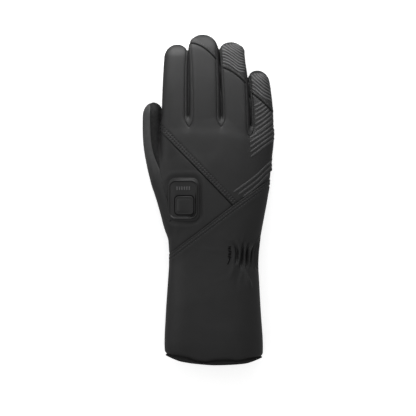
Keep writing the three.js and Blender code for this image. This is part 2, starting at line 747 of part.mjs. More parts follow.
function add(name, solid, material) {
  const mesh = new THREE.Mesh(geometryOf(mainBody(solid)), material);
  mesh.name = name;
  group.add(mesh);
}

add('gauntlet', gauntlet, materials.shell);
add('hand_back', handBack, materials.shell);
add('wrist_panel', wristPanel, materials.shell);
add('palm', palm, materials.palm);
add('thumb_outer', thumbOuter, materials.shell);
add('thumb_inner', thumbInner, materials.gusset);
fourchettes.forEach(({ name }, i) => add(`${name}_fourchette`, fourchettePieces[i], materials.gusset));
capRows.forEach((row, i) => add(`${fingers[row.finger].name}_tip`, caps[i], materials.tip));
add('cuff_lining', cuffLining(), materials.lining);
add('control_housing', controlHousing(), materials.control);
add('control_key', controlKey(), materials.control);
for (const i of steps(lights.count)) add(`level_light_${i + 1}`, levelLight(i), materials.light);

export default group;
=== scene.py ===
import bpy
import numpy as np
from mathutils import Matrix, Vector


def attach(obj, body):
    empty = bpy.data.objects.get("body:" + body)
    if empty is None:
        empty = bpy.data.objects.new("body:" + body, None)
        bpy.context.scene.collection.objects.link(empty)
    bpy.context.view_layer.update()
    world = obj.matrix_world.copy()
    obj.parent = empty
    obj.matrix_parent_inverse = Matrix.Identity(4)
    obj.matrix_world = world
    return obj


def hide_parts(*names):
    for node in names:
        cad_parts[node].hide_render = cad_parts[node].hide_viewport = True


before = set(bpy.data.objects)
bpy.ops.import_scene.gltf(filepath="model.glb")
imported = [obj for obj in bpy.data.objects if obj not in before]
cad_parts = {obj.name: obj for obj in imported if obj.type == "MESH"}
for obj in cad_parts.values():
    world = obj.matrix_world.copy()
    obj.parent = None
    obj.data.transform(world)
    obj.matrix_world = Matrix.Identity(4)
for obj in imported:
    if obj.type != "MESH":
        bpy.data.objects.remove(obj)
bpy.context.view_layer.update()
print("frame:", len(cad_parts), "nodes")

# Sizes that the whole glove shares

glove = {
    "gauntletLength": 89.6, "handLength": 122.9, "webRise": 7.6, "liningProud": 2.9,
    "thumbLength": 126.2, "thumbTipDrop": 62.1, "thumbTipX": -50.2, "thumbWidth": 19.5, "thumbSplay": 28.5,
    "wristWidth": 80.6, "cuffWidth": 89.4, "wristCentreX": 5.3, "handCentreX": 8.7,
    "cuffHeight": 50.0, "wristHeight": 45.0, "handHeight": 44.0, "tipTop": 18.8, "thumbHeight": 21.5,
    "knuckleLift": 8.5, "restFlat": 1.6, "fingerGap": 0.8, "thumbRound": 12.4, "hemRise": 6.4,
    "wall": 2.2,
    "outerEase": 0.3, "gapFill": 0.5,  # a finger's sides: drawn in outside, let out where two fingers touch
    "middle": 0.48,  # height of a section's middle between its bottom and its top
    "handSquare": 2.4, "tipSquare": 2.15,  # superellipse powers of the hand's sections and of a round tip
}
# widths over which forms flow into each other, and where along Y those of a finger and the thumb change
blends = {"finger": 3.0, "fingerFrom": -40.0, "fingerTo": -18.0, "web": 6.0, "ground": 1.5,
          "thumb": 6.0, "thumbTip": 1.0, "thumbFrom": 25.0, "thumbTo": 55.0}
# length, width, taper, lean, round end and height of the top at the root, from the index to the little finger
fingers = np.array([
    [76.3, 25.0, 2.7, 1.6, 12.4, 32.6],
    [85.5, 28.6, 2.3, -2.3, 14.8, 35.0],
    [78.3, 25.4, 2.9, -4.3, 10.5, 34.4],
    [52.4, 21.4, 1.9, -4.0, 11.4, 31.0],
])
# drop of the crotch, and the width of the gusset left and right of the gap
gussets = np.array([[0.3, 3.9, 3.9], [0.0, 3.7, 3.2], [9.0, 3.1, 3.3]])

wholeLength = glove["liningProud"] + glove["gauntletLength"] + glove["handLength"] + fingers[1, 0]
wristY = -wholeLength / 2 + glove["liningProud"] + glove["gauntletLength"]
hemY = wristY - glove["gauntletLength"]
crotchY = wristY + glove["handLength"]
webY = crotchY + glove["webRise"]
thumbTipY = crotchY + fingers[1, 0] - glove["thumbTipDrop"]
handWidth = fingers[:, 1].sum() + 3 * glove["fingerGap"]
rootLeftX = (glove["handCentreX"] - handWidth / 2
             + np.concatenate([[0], np.cumsum(fingers[:, 1] + glove["fingerGap"])]))

# down the cuff: share of its length, of its way to the full width and to the hand's middle, top and bottom as
# shares of its height; then the same up the hand
gauntletRows = np.array([
    [1.08, 0.78, 0.06, 0.93, 0], [0.96, 0.93, 0.04, 0.97, 0], [0.81, 1.0, -0.04, 1.0, 0],
    [0.59, 0.8, -0.08, 0.985, 0], [0.32, 0.47, -0.1, 0.95, 0], [0.12, 0.17, -0.06, 0.915, 0],
])
handRows = np.array([
    [0.12, 0.07, 0.15, 1.015, 0], [0.3, 0.4, 0.2, 1.015, 0.01], [0.47, 0.69, 0.25, 1.0, 0.06],
    [0.61, 0.87, 0.3, 0.975, 0.1], [0.74, 0.965, 0.42, 0.935, 0.14], [0.86, 1.0, 0.7, 0.88, 0.17],
    [0.94, 1.0, 0.9, 0.84, 0.19], [1.0, 0.985, 1.0, 0.785, 0.22], [1.04, 0.965, 1.0, 0.75, 0.3],
    [1.07, 0.94, 1.0, 0.72, 0.42],
])
# at, share of the taper, share of the knuckle lift, share of the fall from the root's height to the tip's
fingerRows = np.array([
    [-0.5, 1.6, 1.35, -0.12], [-0.25, 0.7, 1.3, -0.16], [0.0, 0, 1.0, 0.0], [0.3, 0.08, 0.62, 0.26],
    [0.5, 0.28, 0.36, 0.46], [0.7, 0.6, 0.12, 0.69], [0.85, 0.85, -0.05, 0.87], [1.0, 1.0, -0.15, 1.07],
])
# share of the length from the tip, middle, width, bottom, top
thumbRows = np.array([
    [0.0, 0.0, 0.93, -0.04, 0.9], [0.135, 0.0, 1.0, -0.06, 1.0], [0.308, 0.05, 1.08, -0.06, 1.13],
    [0.438, 0.158, 1.136, -0.04, 1.26], [0.567, 0.324, 1.21, 0.02, 1.42], [0.697, 0.524, 1.28, 0.06, 1.58],
    [0.83, 0.735, 1.37, 0.1, 1.68], [0.93, 0.9, 1.4, 0.18, 1.62], [1.0, 1.07, 1.3, 0.4, 1.4],
])


# Small helpers for whole arrays

def readRows(rows, at):
    # the first column is the place; the others follow a cubic between neighbouring rows, whose slope at a row
    # is that of the line between the rows beside it
    rows, at = np.asarray(rows, float), np.asarray(at, float)
    i = np.clip(np.searchsorted(rows[:, 0], at, side="right") - 1, 0, len(rows) - 2)
    a, b, c, d = (rows[np.clip(i + k, 0, len(rows) - 1)] for k in (-1, 0, 1, 2))
    span = c[..., :1] - b[..., :1]
    t = np.clip((at[..., None] - b[..., :1]) / span, 0, 1)
    slopeB = (c - a) / (c[..., :1] - a[..., :1]) * span
    slopeC = (d - b) / (d[..., :1] - b[..., :1]) * span
    read = (b * (2 * t**3 - 3 * t**2 + 1) + slopeB * (t**3 - 2 * t**2 + t)
            + c * (3 * t**2 - 2 * t**3) + slopeC * (t**3 - t**2))
    return np.moveaxis(read[..., 1:], -1, 0)


def ease(low, high, v):  # 0 below low, 1 above high, an S curve between
    t = np.clip((v - low) / (high - low), 0, 1)
    return t * t * (3 - 2 * t)


def bell(v, width):  # 1 at 0, falling like a bell
    return np.exp(-((v / width) ** 2))


def smoothLow(a, b, k):  # the lower of two, rounded over a width k where they meet
    h = np.clip(1 - np.abs(a - b) / k, 0, 1)
    return np.minimum(a, b) - h * h * k / 4


def smoothHigh(a, b, k):
    return -smoothLow(-a, -b, k)


def mix(a, b, t):
    return a + (b - a) * t


# Sections of the limbs along Y: place, middle, half width, bottom, top

def handStations():
    g = glove
    cuff = [[wristY - at * g["gauntletLength"], mix(g["wristCentreX"], g["handCentreX"], shift),
             mix(g["wristWidth"], g["cuffWidth"], spread) / 2, bottom * g["cuffHeight"] - g["restFlat"],
             top * g["cuffHeight"]] for at, spread, shift, top, bottom in gauntletRows]
    wrist = [[wristY, g["wristCentreX"], g["wristWidth"] / 2, -g["restFlat"], g["wristHeight"]]]
    palm = [[wristY + at * g["handLength"], mix(g["wristCentreX"], g["handCentreX"], shift),
             mix(g["wristWidth"], handWidth, spread) / 2,
             bottom * g["handHeight"] - g["restFlat"] * np.clip(1 - at, 0, 1),
             top * g["handHeight"]] for at, spread, shift, top, bottom in handRows]
    return np.array(cuff + wrist + palm)


def fingerStations(index):
    length, width, taper, lean, _, rootTop = fingers[index]
    at, narrow, lift, fall = fingerRows.T
    left, right = [glove["outerEase"] if outer else -glove["gapFill"] for outer in (index == 0, index == 3)]
    return np.stack([crotchY + at * length,
                     rootLeftX[index] + (width + left - right) / 2 + lean * np.maximum(at, 0) ** 1.8,
                     (width - taper * narrow - left - right) / 2, lift * glove["knuckleLift"],
                     mix(rootTop, glove["tipTop"], fall)], 1)


def thumbStations():
    at, middle, width, bottom, top = thumbRows.T
    rows = np.stack([thumbTipY - at * glove["thumbLength"], glove["thumbTipX"] + middle * glove["thumbSplay"],
                     glove["thumbWidth"] * width / 2, bottom * glove["thumbHeight"],
                     top * glove["thumbHeight"]], 1)
    return rows[::-1]


handLimb = handStations()
fingerLimbs = [fingerStations(i) for i in range(4)]
fingerTips = crotchY + fingers[:, 0]
soft, boxy = 2.6, 4.6  # a finger is boxy where it touches the next
fingerSquares = [(soft, boxy, soft), (boxy, boxy, soft), (boxy, boxy, soft), (boxy, soft, soft)]
thumbLimb = thumbStations()


def drawnBack(x, y):  # the crotch beside the little finger lies lower, so the hand's end is drawn back there
    return gussets[2, 0] * ease(rootLeftX[2], rootLeftX[3], x) * np.clip(
        1 - (webY - y) / (glove["handLength"] * 0.25), 0, 1)


def limbField(rows, x, y, z, squares, tip=None, tipRound=None):
    # how far a point is from a limb's surface along the ray from the section's middle: the ray's length times
    # 1 - 1/q, where q is the superellipse of the section, with the way past the start of the round tip added;
    # squares are the superellipse's powers at the upper left, the upper right and below
    centre, half, bottom, top = readRows(rows, y if tip is None else np.minimum(y, tip))
    middle = mix(bottom, top, glove["middle"])
    dx, dz = x - centre, z - middle
    tall = np.where(dz > 0, top - middle, middle - bottom)
    square = np.where(dz < 0, squares[2], np.where(dx < 0, squares[0], squares[1]))
    q = (np.abs(dx / half) ** square + np.abs(dz / tall) ** square) ** (1 / square)
    past = 0.0
    if tip is not None:
        past = np.maximum(y - (tip - tipRound), 0)
        q = np.sqrt(q**2 + (past / tipRound) ** glove["tipSquare"])
    ray = np.sqrt(dx * dx + dz * dz + past * past)
    return ray * (1 - 1 / np.maximum(q, 0.15))


def handField(x, y, z):
    along = y + drawnBack(x, y + drawnBack(x, y))
    limb = limbField(handLimb, x, np.minimum(along, webY), z, [glove["handSquare"]] * 3)
    return smoothHigh(limb, along - webY, blends["web"])


def fingerField(i, x, y, z):
    return limbField(fingerLimbs[i], x, y, z, fingerSquares[i], fingerTips[i], fingers[i, 4])


def thumbField(x, y, z):
    return limbField(thumbLimb, x, y, z, [2.0] * 3, thumbTipY, glove["thumbRound"])


def gloveField(x, y, z):
    # negative inside; each finger flows into the hand, and the thumb more softly towards its root
    b = blends
    hand = handField(x, y, z)
    field = hand
    width = 0.01 + b["finger"] * ease(b["fingerFrom"], b["fingerTo"], y - crotchY)
    for i in range(4):
        joined = np.minimum(field, smoothLow(hand, fingerField(i, x, y, z), width))
        field = np.where(y > crotchY + b["fingerFrom"], joined, field)
    width = mix(b["thumb"], b["thumbTip"], ease(b["thumbFrom"], b["thumbTo"], y))
    return smoothHigh(smoothLow(field, thumbField(x, y, z), width), -z, b["ground"])


# The field on a grid, and points seated on its surface

grid = {"low": np.array([-63.0, -153.2, -2.0]), "high": np.array([63.0, 153.0, 53.0]),
        "step": 0.94}
counts = np.ceil((grid["high"] - grid["low"]) / grid["step"]).astype(int) + 1
axes = [grid["low"][k] + grid["step"] * np.arange(counts[k]) for k in range(3)]
field = np.concatenate([
    gloveField(axes[0][:, None, None], part[None, :, None], axes[2][None, None, :]).astype(np.float32)
    for part in np.array_split(axes[1], 12)], axis=1)
print("field:", field.shape)


def readField(points):  # trilinear between the grid's values
    at = np.clip((points - grid["low"]) / grid["step"], 0, np.array(field.shape) - 1.001)
    i = at.astype(int)
    t = at - i
    total = 0
    for a in (0, 1):
        for b in (0, 1):
            for c in (0, 1):
                share = np.abs(1 - a - t[:, 0]) * np.abs(1 - b - t[:, 1]) * np.abs(1 - c - t[:, 2])
                total = total + share * field[i[:, 0] + a, i[:, 1] + b, i[:, 2] + c]
    return total


def fieldNormals(points, reach=1.0):  # the field's slope, from its values a little to each side
    slope = np.stack([readField(points + reach * e) - readField(points - reach * e) for e in np.eye(3)], 1)
    return slope / (2 * reach)


def seated(points, rounds=3):  # moved along the slope until the field is 0 there
    for _ in range(rounds):
        slope = fieldNormals(points, 0.7)
        step = readField(points) / np.maximum((slope**2).sum(1), 0.05)
        points = points - np.clip(step, -2, 2)[:, None] * slope
    return points


def unit(v):
    return v / np.maximum(np.linalg.norm(v, axis=-1, keepdims=True), 1e-9)


def surfaceNet():
    # one point in each cell that the surface crosses, at the mean of the crossings on its edges, and a face
    # round each crossed grid edge through the four cells that share it
    inside = field < 0
    corners = np.array([[a, b, c] for a in (0, 1) for b in (0, 1) for c in (0, 1)])
    cells = np.array(field.shape) - 1
    held = sum(inside[a:a + cells[0], b:b + cells[1], c:c + cells[2]].astype(np.int8) for a, b, c in corners)
    index = np.argwhere((held > 0) & (held < 8))
    value = np.stack([field[tuple((index + c).T)] for c in corners], 1)
    total, crossings = np.zeros((len(index), 3)), np.zeros(len(index))
    for a in range(8):
        for b in range(a + 1, 8):
            if abs(corners[a] - corners[b]).sum() == 1:
                crossed = (value[:, a] < 0) != (value[:, b] < 0)
                t = np.where(crossed, value[:, a] / np.where(crossed, value[:, a] - value[:, b], 1), 0)
                total += crossed[:, None] * (corners[a] + t[:, None] * (corners[b] - corners[a]))
                crossings += crossed
    points = grid["low"] + grid["step"] * (index + total / crossings[:, None])
    number = np.full(cells, -1, np.int32)
    number[tuple(index.T)] = np.arange(len(index))
    quads = []
    for axis in range(3):
        u, v = np.eye(3, dtype=int)[(axis + 1) % 3], np.eye(3, dtype=int)[(axis + 2) % 3]
        first = np.moveaxis(inside, axis, 0)[:-1]
        second = np.moveaxis(inside, axis, 0)[1:]
        where = np.argwhere(np.moveaxis(first != second, 0, axis))
        where = where[((where > 0) & (where < cells))[:, [k for k in range(3) if k != axis]].all(1)]
        quad = np.stack([number[tuple((where - m).T)] for m in (0 * u, u, u + v, v)], 1)
        outward = inside[tuple(where.T)]
        quads.append(np.where(outward[:, None], quad, quad[:, ::-1]))
    quads = np.concatenate(quads)
    return points, np.concatenate([quads[:, [0, 1, 2]], quads[:, [0, 2, 3]]])


points, triangles = surfaceNet()
points = seated(points, 2)
print("surface:", len(points), "points")

# Lines seen from above

seams = {
    "cuff": [[-1.0, -0.265], [-0.42, 0.066], [0.136, 0.42], [0.472, 0.618], [1.1, 0.96]],
    "panel": [[-1.1, 1.43], [-0.5, 0.965], [0.136, 0.42], [0.6, 0.02]],
}
seams = {name: np.array(rows) * [handWidth, glove["handLength"]] + [glove["handCentreX"], wristY]
         for name, rows in seams.items()}
# across from the cuff's middle, rise of the hem, rise of the lining's edge
hemRows = [
    [-0.8, 1.7, 2.0], [-0.5, 1.03, 1.2], [-0.36, 0.82, 0.54], [-0.26, 0.56, 0.3], [-0.19, 0.22, 0.19],
    [-0.09, 0, 0.07], [0.0, 0.22, 0], [0.15, 0.31, 0.04], [0.25, 0.19, 0.11], [0.35, 0.45, 0.26],
    [0.5, 0.66, 0.9], [0.8, 1.1, 1.9],
]
# share of the hand's length, height of the side seam as a share of the hand's
sideRows = [[-0.6, 0.5], [0.5, 0.5], [0.8, 0.49], [1.0, 0.47], [1.3, 0.36], [1.55, 0.29], [1.9, 0.25]]
# a fingertip panel's finger, then as shares of its length: the panel's seam at the left and right, and the
# rise of the seam's arch
capRows = {"middle_tip": [1, 0.905, 0.69, 0.055], "ring_tip": [2, 0.7, 0.478, 0.045],
           "little_tip": [3, 0.62, 0.245, 0.04]}
# share of the length from the tip, way across from the thumb's middle as a share of half its width
thumbSeamRows = [[-0.3, -0.28], [0.13, -0.28], [0.25, -0.27], [0.36, -0.22], [0.47, -0.05], [0.65, 0.22],
                 [1.1, 0.4]]
# way up a gusset, share of its width
gussetRows = [[0.03, 1.0], [0.55, 0.88], [0.83, 0.62], [1.02, 0.3]]
gussetNames = ["index_middle_fourchette", "middle_ring_fourchette", "ring_little_fourchette"]


def toLine(line, x, y):
    # signed distance from a line of straight pieces seen from above, positive to the left of its direction
    best, sign = np.full(np.shape(x), 1e9), np.zeros(np.shape(x))
    for (ax, ay), (bx, by) in zip(line[:-1], line[1:]):
        dx, dy = bx - ax, by - ay
        t = np.clip(((x - ax) * dx + (y - ay) * dy) / (dx * dx + dy * dy), 0, 1)
        away = np.hypot(x - ax - t * dx, y - ay - t * dy)
        side = np.sign(dx * (y - ay) - dy * (x - ax))
        sign = np.where(away < best, side, sign)
        best = np.minimum(best, away)
    return best * np.where(sign == 0, 1, sign)


def hemAt(x):
    return hemY + glove["hemRise"] * readRows(hemRows, (x - glove["wristCentreX"]) / glove["cuffWidth"])[0]


def fingerMiddle(index, y):
    centre, half, _, _ = readRows(fingerLimbs[index], np.minimum(y, fingerTips[index] - fingers[index, 4]))
    return centre, half


def gapX(index, y):
    (a, ha), (b, hb) = fingerMiddle(index, y), fingerMiddle(index + 1, y)
    return (a + ha + b - hb) / 2


def insideFinger(index, x, y):  # how far inside the middles of the gaps beside a finger
    left = x - gapX(index - 1, y) if index > 0 else 30.0
    right = gapX(index, y) - x if index < 3 else 30.0
    return np.minimum(left, right) + 0 * x


def toGusset(index, x, y):
    # how far inside the gusset's outline, seen from above: its width narrows towards the tips, and its lower
    # end is a pointed arch
    drop, left, right = gussets[index]
    low = crotchY - drop
    web = low + glove["webRise"]
    high = min(fingerTips[index], fingerTips[index + 1])
    share = readRows(gussetRows, (y - web) / (high - web))[0]
    t = np.clip((web - y) / (web - low), 0, 1)
    share = np.where(y > web, share, (1 - t**1.3) ** 0.75)
    away = x - gapX(index, np.maximum(y, low))
    inside = np.where(away < 0, left * share + away, right * share - away)
    return np.where(y > low, inside, -np.hypot(away, low - y))


def capSeamY(row, t):  # the fingertip panel's seam, at -1 to 1 across the finger
    index, leftAt, rightAt, arch = row
    return crotchY + fingers[index, 0] * (mix(leftAt, rightAt, (t + 1) / 2) + arch * (1 - t * t))


def toCap(row, x, y):  # how far above the fingertip panel's seam
    centre, half = fingerMiddle(row[0], y)
    return y - capSeamY(row, np.clip((x - centre) / half, -1.3, 1.3))


def toSide(y, z):  # above the seam between the back and the palm
    return z - glove["handHeight"] * readRows(sideRows, (y - wristY) / glove["handLength"])[0]


def toThumbSeam(x, y):
    middle, half, _, _ = readRows(thumbLimb, np.minimum(y, thumbTipY - glove["thumbRound"]))
    return x - (middle + half * readRows(thumbSeamRows, (thumbTipY - y) / glove["thumbLength"])[0])


# The surface cut along its seams into the sewn panels

def cutAlong(faces, d):
    # triangles that the line d = 0 crosses are cut there, so that both sides share one clean edge
    global points
    d = np.where(np.abs(d) < 1e-3, 1e-3, d)
    side = d[faces] > 0
    number = side.sum(1)
    mixed = (number == 1) | (number == 2)
    lone = np.where(number == 1, side.argmax(1), side.argmin(1))[mixed]
    a, b, c = np.take_along_axis(faces[mixed], (lone[:, None] + np.arange(3)) % 3, 1).T
    edges = np.sort(np.concatenate([np.stack([a, b], 1), np.stack([a, c], 1)]), 1)
    edges, place = np.unique(edges, axis=0, return_inverse=True)
    place = place.reshape(-1) + len(points)
    t = d[edges[:, 0]] / (d[edges[:, 0]] - d[edges[:, 1]])
    points = np.concatenate([points, mix(points[edges[:, 0]], points[edges[:, 1]], t[:, None])])
    ab, ac = place[:len(a)], place[len(a):]
    tip = np.stack([a, ab, ac], 1)
    rest = np.stack([np.stack([ab, b, c], 1), np.stack([ab, c, ac], 1)], 1)
    one = number[mixed] == 1
    above = [faces[number == 3], tip[one], rest[~one].reshape(-1, 3)]
    below = [faces[number == 0], tip[~one], rest[one].reshape(-1, 3)]
    return np.concatenate(above), np.concatenate(below)


def xyz():
    return points[:, 0], points[:, 1], points[:, 2]


x, y, z = xyz()
whole, _ = cutAlong(triangles, y - hemAt(x))
x, y, z = xyz()
rest, thumb = cutAlong(whole, thumbField(x, y, z) - np.minimum(handField(x, y, z), fingerField(0, x, y, z)))
panels = {}
x, y, z = xyz()
panels["thumb_inner"], panels["thumb_outer"] = cutAlong(thumb, toThumbSeam(x, y))
x, y, z = xyz()
hand, panels["gauntlet"] = cutAlong(rest, toLine(seams["cuff"], x, y))
for i, name in enumerate(gussetNames):
    x, y, z = xyz()
    panels[name], hand = cutAlong(hand, toGusset(i, x, y))
x, y, z = xyz()
back, panels["palm"] = cutAlong(hand, toSide(y, z))
x, y, z = xyz()
back, panels["wrist_panel"] = cutAlong(back, toLine(seams["panel"], x, y))
for name, row in capRows.items():
    x, y, z = xyz()
    panels[name], back = cutAlong(back, np.minimum(toCap(row, x, y), insideFinger(row[0], x, y)))
panels["hand_back"] = back
print("panels:", {name: len(f) for name, f in panels.items()})


def refined(faces, fine):
    # every edge whose two ends are fine is halved: a triangle with three such edges becomes four, one with a
    # single such edge two
    global points
    marks = fine[faces]
    number = marks.sum(1)
    all3, two = faces[number == 3], faces[number == 2]
    lone = marks[number == 2].argmin(1)
    c, a, b = np.take_along_axis(two, (lone[:, None] + np.arange(3)) % 3, 1).T
    edges = np.concatenate([all3[:, [0, 1]], all3[:, [1, 2]], all3[:, [2, 0]], np.stack([a, b], 1)])
    halved, place = np.unique(np.sort(edges, 1), axis=0, return_inverse=True)
    place = place.reshape(-1) + len(points)
    points = np.concatenate([points, seated((points[halved[:, 0]] + points[halved[:, 1]]) / 2, 1)])
    k = len(all3)
    m, n, o, q = place[:k], place[k:2 * k], place[2 * k:3 * k], place[3 * k:]
    return np.concatenate([
        faces[number < 2],
        *[np.stack(corners, 1) for corners in ((all3[:, 0], m, o), (m, all3[:, 1], n), (o, n, all3[:, 2]),
                                               (m, n, o), (c, a, q), (c, q, b))]])


# Relief of the cloth: how far it stands out of, or sinks into, the plain surface

sewing = {
    # how deep and how wide each seam pulls the cloth in
    "pinches": {"cuff": (0.6, 0.8), "panel": (0.85, 1.0), "side": (0.35, 0.8), "palmGusset": (0.35, 0.8),
                "gusset": (0.5, 0.6), "cap": (1.0, 0.9), "thumb": (0.5, 0.7)},
    "lap": 0.6, "lapWidth": 12.0,  # an overlapping panel lies on its own seam allowance
    "panelEdge": 0.3, "capEdge": 0.45, "edgeWidth": 0.4,  # a thin step where the lap ends
    "capLap": 0.5, "capBand": 3.7, "bandDepth": 0.5, "bandWidth": 0.6, "hemRoll": 1.3, "hemRollWidth": 1.3,
    "channel": 0.3, "channelWidth": 0.8, "hole": 0.4, "holeWidth": 0.6,
    "thumbShade": (8, 48),  # where along Y the thumb's painted highlight fades into painted shade towards the root
    "rows": (2.0, 4.4), "pitch": 2.6, "length": 1.7, "slant": 0.7, "thick": 0.5,
    "capPitch": 2.3, "capLength": 1.5, "capSlant": -0.6, "capThick": 0.45,
}
# gathers at the wrist: angle round it from the little finger's side, height (below 0 for a valley), reach up
# and down the glove, how far the upper and lower ends lean round the wrist, and width; angles in degrees
gatherRows = np.array([
    [66.9, 0.8, 8, 19, 4, 5, 2.0], [63.2, -2.0, 13, 9, 9, 1, 1.9], [59.1, 0.9, 20, 9, 12, 1, 1.5],
    [57.5, 0.5, 22, 6, -3, 0, 1.5], [54.8, -2.7, 13, 14, -1, 3, 2.0], [50.1, 1.4, 8, 30, 0, -10, 1.7],
    [45.2, -2.9, 12, 14, -3, 1, 2.2], [39.6, 2.0, 20, 12, -32, 2, 1.7], [33.8, -2.5, 11, 14, -6, 0, 2.2],
    [28.6, 1.1, 15, 16, -14, -8, 1.7], [22.0, -2.2, 13, 14, -8, -6, 2.6], [15.0, 1.0, 18, 16, -6, -6, 2.2],
    [9.0, -1.6, 15, 15, 0, 0, 2.7], [2.0, 0.9, 17, 15, 0, 0, 2.5], [-5.0, -1.6, 16, 14, 0, 0, 2.8],
    [-12.0, 0.9, 15, 14, 0, 0, 2.6], [-18.0, -1.4, 14, 12, 0, 0, 2.8], [-25.0, 0.7, 12, 11, 0, 0, 2.8],
])
gatherY = wristY + 6.9
elasticDip = {"depth": 1.1, "angle": 30.0, "spread": 38.0, "reach": 11.0}  # the elastic pulls the wrist in
# soft folds: x, y, half length, half width, turn in degrees from +X, height
foldRows = np.array([
    [34.6, -70.0, 5.0, 1.2, -74, 1.1], [36.6, -75.8, 5.0, 2.0, -70, 2.1],
    [31.0, -68.5, 7.0, 1.3, -112, 0.3], [22.5, -66.0, 9.0, 2.4, -118, 0.4],
    [14.0, -73.0, 9.0, 2.4, -155, 0.2], [27.0, -72.0, 9.0, 2.6, -100, -0.5],
    [19.0, -38.5, 8.0, 2.0, 142, 0.5], [4.0, -47.0, 13.0, 2.0, 172, 0.22], [-48.4, 20.0, 9.0, 2.4, 80, 0.7],
    [-44.6, 34.0, 12.0, 1.8, 84, -0.5], [-40.5, 4.0, 10.0, 2.2, 105, 0.5],
    [-30.0, -35.0, 12.0, 3.0, 70, 0.4], [3.0, 30.0, 16.0, 5.0, 60, 0.25],
    [-12.0, 38.0, 14.0, 4.0, 110, 0.25], [-6.0, -92.0, 26.0, 6.0, 12, 0.35],
    [12.0, -118.0, 22.0, 5.0, -8, 0.3],
])


def gathers(p):
    centre, half, bottom, top = readRows(handLimb, p[:, 1])
    middle = mix(bottom, top, glove["middle"])
    u = (p[:, 0] - centre) / half
    v = (p[:, 2] - middle) / np.where(p[:, 2] > middle, top - middle, middle - bottom)
    power = glove["handSquare"] / 2
    angle = np.degrees(np.arctan2(np.sign(v) * np.abs(v) ** power, np.sign(u) * np.abs(u) ** power))
    dip = elasticDip
    total = -dip["depth"] * bell(angle - dip["angle"], dip["spread"]) * bell(p[:, 1] - gatherY, dip["reach"])
    for place, height, up, down, leanUp, leanDown, width in gatherRows:
        t = (p[:, 1] - gatherY) / np.where(p[:, 1] > gatherY, up, down)
        lean = np.where(t > 0, leanUp, leanDown) * np.clip(np.abs(t), 0, 1.2) ** 2
        away = np.abs(angle - place - lean) / (width * (1 + 0.4 * t * t))
        shape = np.exp(-away**1.4) if height > 0 else np.exp(-away**2)  # sharp crests, round valleys
        total = total + height * shape * np.clip(1 - t * t, 0, 1)
    return total * ease(0, 0.25, np.clip(u, 0, 1))


def folds(p):
    total = 0
    for fx, fy, length, width, turn, height in foldRows:
        c, s = np.cos(np.radians(turn)), np.sin(np.radians(turn))
        along, across = (p[:, 0] - fx) * c + (p[:, 1] - fy) * s, (p[:, 1] - fy) * c - (p[:, 0] - fx) * s
        total = total + height * bell(along, length) * bell(across, width)
    return total * ease(8, 16, p[:, 2])


def waves(p):  # slow unevenness of padded cloth, from a few crossing waves
    x, y, z = p.T
    return (0.16 * np.sin(x / 9.1 + 1.3) * np.sin(y / 14.3 + 0.4) + 0.12 * np.sin((x + y) / 11.7 + z / 8.0)
            + 0.1 * np.sin((x - 1.7 * y) / 17.3 + 2.0) * np.sin(z / 9.0 + x / 21.0))


def pinch(seam, d):  # deepest in the seam, and fading to both sides
    depth, width = sewing["pinches"][seam]
    return -depth * np.exp(-np.abs(d) / width)


def stitchHoles(line, d, x, y):  # 1 where the needle went in: two rows along a seam, one hole a pitch; the holes are sunk and painted with shade
    (ax, ay), (bx, by) = line[1], line[-2]
    along = ((x - ax) * (bx - ax) + (y - ay) * (by - ay)) / np.hypot(bx - ax, by - ay)
    rows = sum(bell(d - row, sewing["holeWidth"]) for row in sewing["rows"])
    return rows * (0.5 + 0.5 * np.cos(2 * np.pi * along / sewing["pitch"])) ** 2


def stitchChannels(line, d, x, y):  # the two rows of stitches lie in shallow channels with holes in them
    channels = sum(bell(d - row, sewing["channelWidth"]) for row in sewing["rows"])
    return -sewing["channel"] * channels - sewing["hole"] * stitchHoles(line, d, x, y)


def lapped(line, d, x, y):  # the panel that lies on top: raised beside the seam, with its stitches
    return sewing["lap"] * (1 - ease(1, sewing["lapWidth"], d)) + stitchChannels(line, d, x, y)


control = {
    "x": glove["handCentreX"] - 30.6, "y": wristY + 56.8, "width": 28.2, "length": 39.2, "corner": 6.8,
    "keyX": 1.0, "keyY": -5.3, "keyWidth": 17.2, "keyLength": 17.6, "keyCorner": 3.4, "keyGap": 0.25,
    "lights": 6, "lightPitch": 2.15, "lightWidth": 0.9, "lightLength": 3.1, "lightUp": 10.1,
    "face": 1.9, "groove": 1.3,  # height of the face above the cloth, and depth of the groove in it
    "innerX": 3.7, "innerY": 5.0, "innerCorner": 4.4,  # how far in the groove ends, and its corners there
    # the cloth sinks beside the unit, and rises again a little further out
    "moat": 0.7, "moatWidth": 2.0, "bank": 0.3, "bankAt": 4.5,
    # inset across, inset along and height above the cloth, from the flange's hidden foot to the face
    "profile": np.array([
        [0.3, 0.3, -1.4], [0.0, 0.0, -0.4], [0.0, 0.0, 0.1], [0.15, 0.15, 0.35], [0.6, 0.6, 0.5],
        [1.2, 1.9, 0.6], [1.35, 2.1, 0.8], [1.42, 2.18, 2.1], [1.52, 2.28, 2.6], [1.8, 2.55, 2.85],
        [2.1, 2.85, 2.75], [2.4, 3.25, 2.25], [2.6, 3.45, 1.95]]),
    # inset and height above the face: the pocket round the key, the key, and a light
    "pocket": [(0.0, -0.12), (0.05, -0.5), (0.1, -1.2), (3.0, -1.25)],
    "key": [(0.9, -0.95), (0.45, -0.95), (0.4, -0.1), (0.55, 0.25), (0.95, 0.42), (1.7, 0.45), (2.0, 0.28),
            (2.4, 0.3), (3.2, 0.62), (5.0, 0.68), (7.0, 0.7)],
    "light": [(0.2, -0.2), (0.0, -0.1), (0.0, 0.2), (0.08, 0.32), (0.25, 0.38)],
}


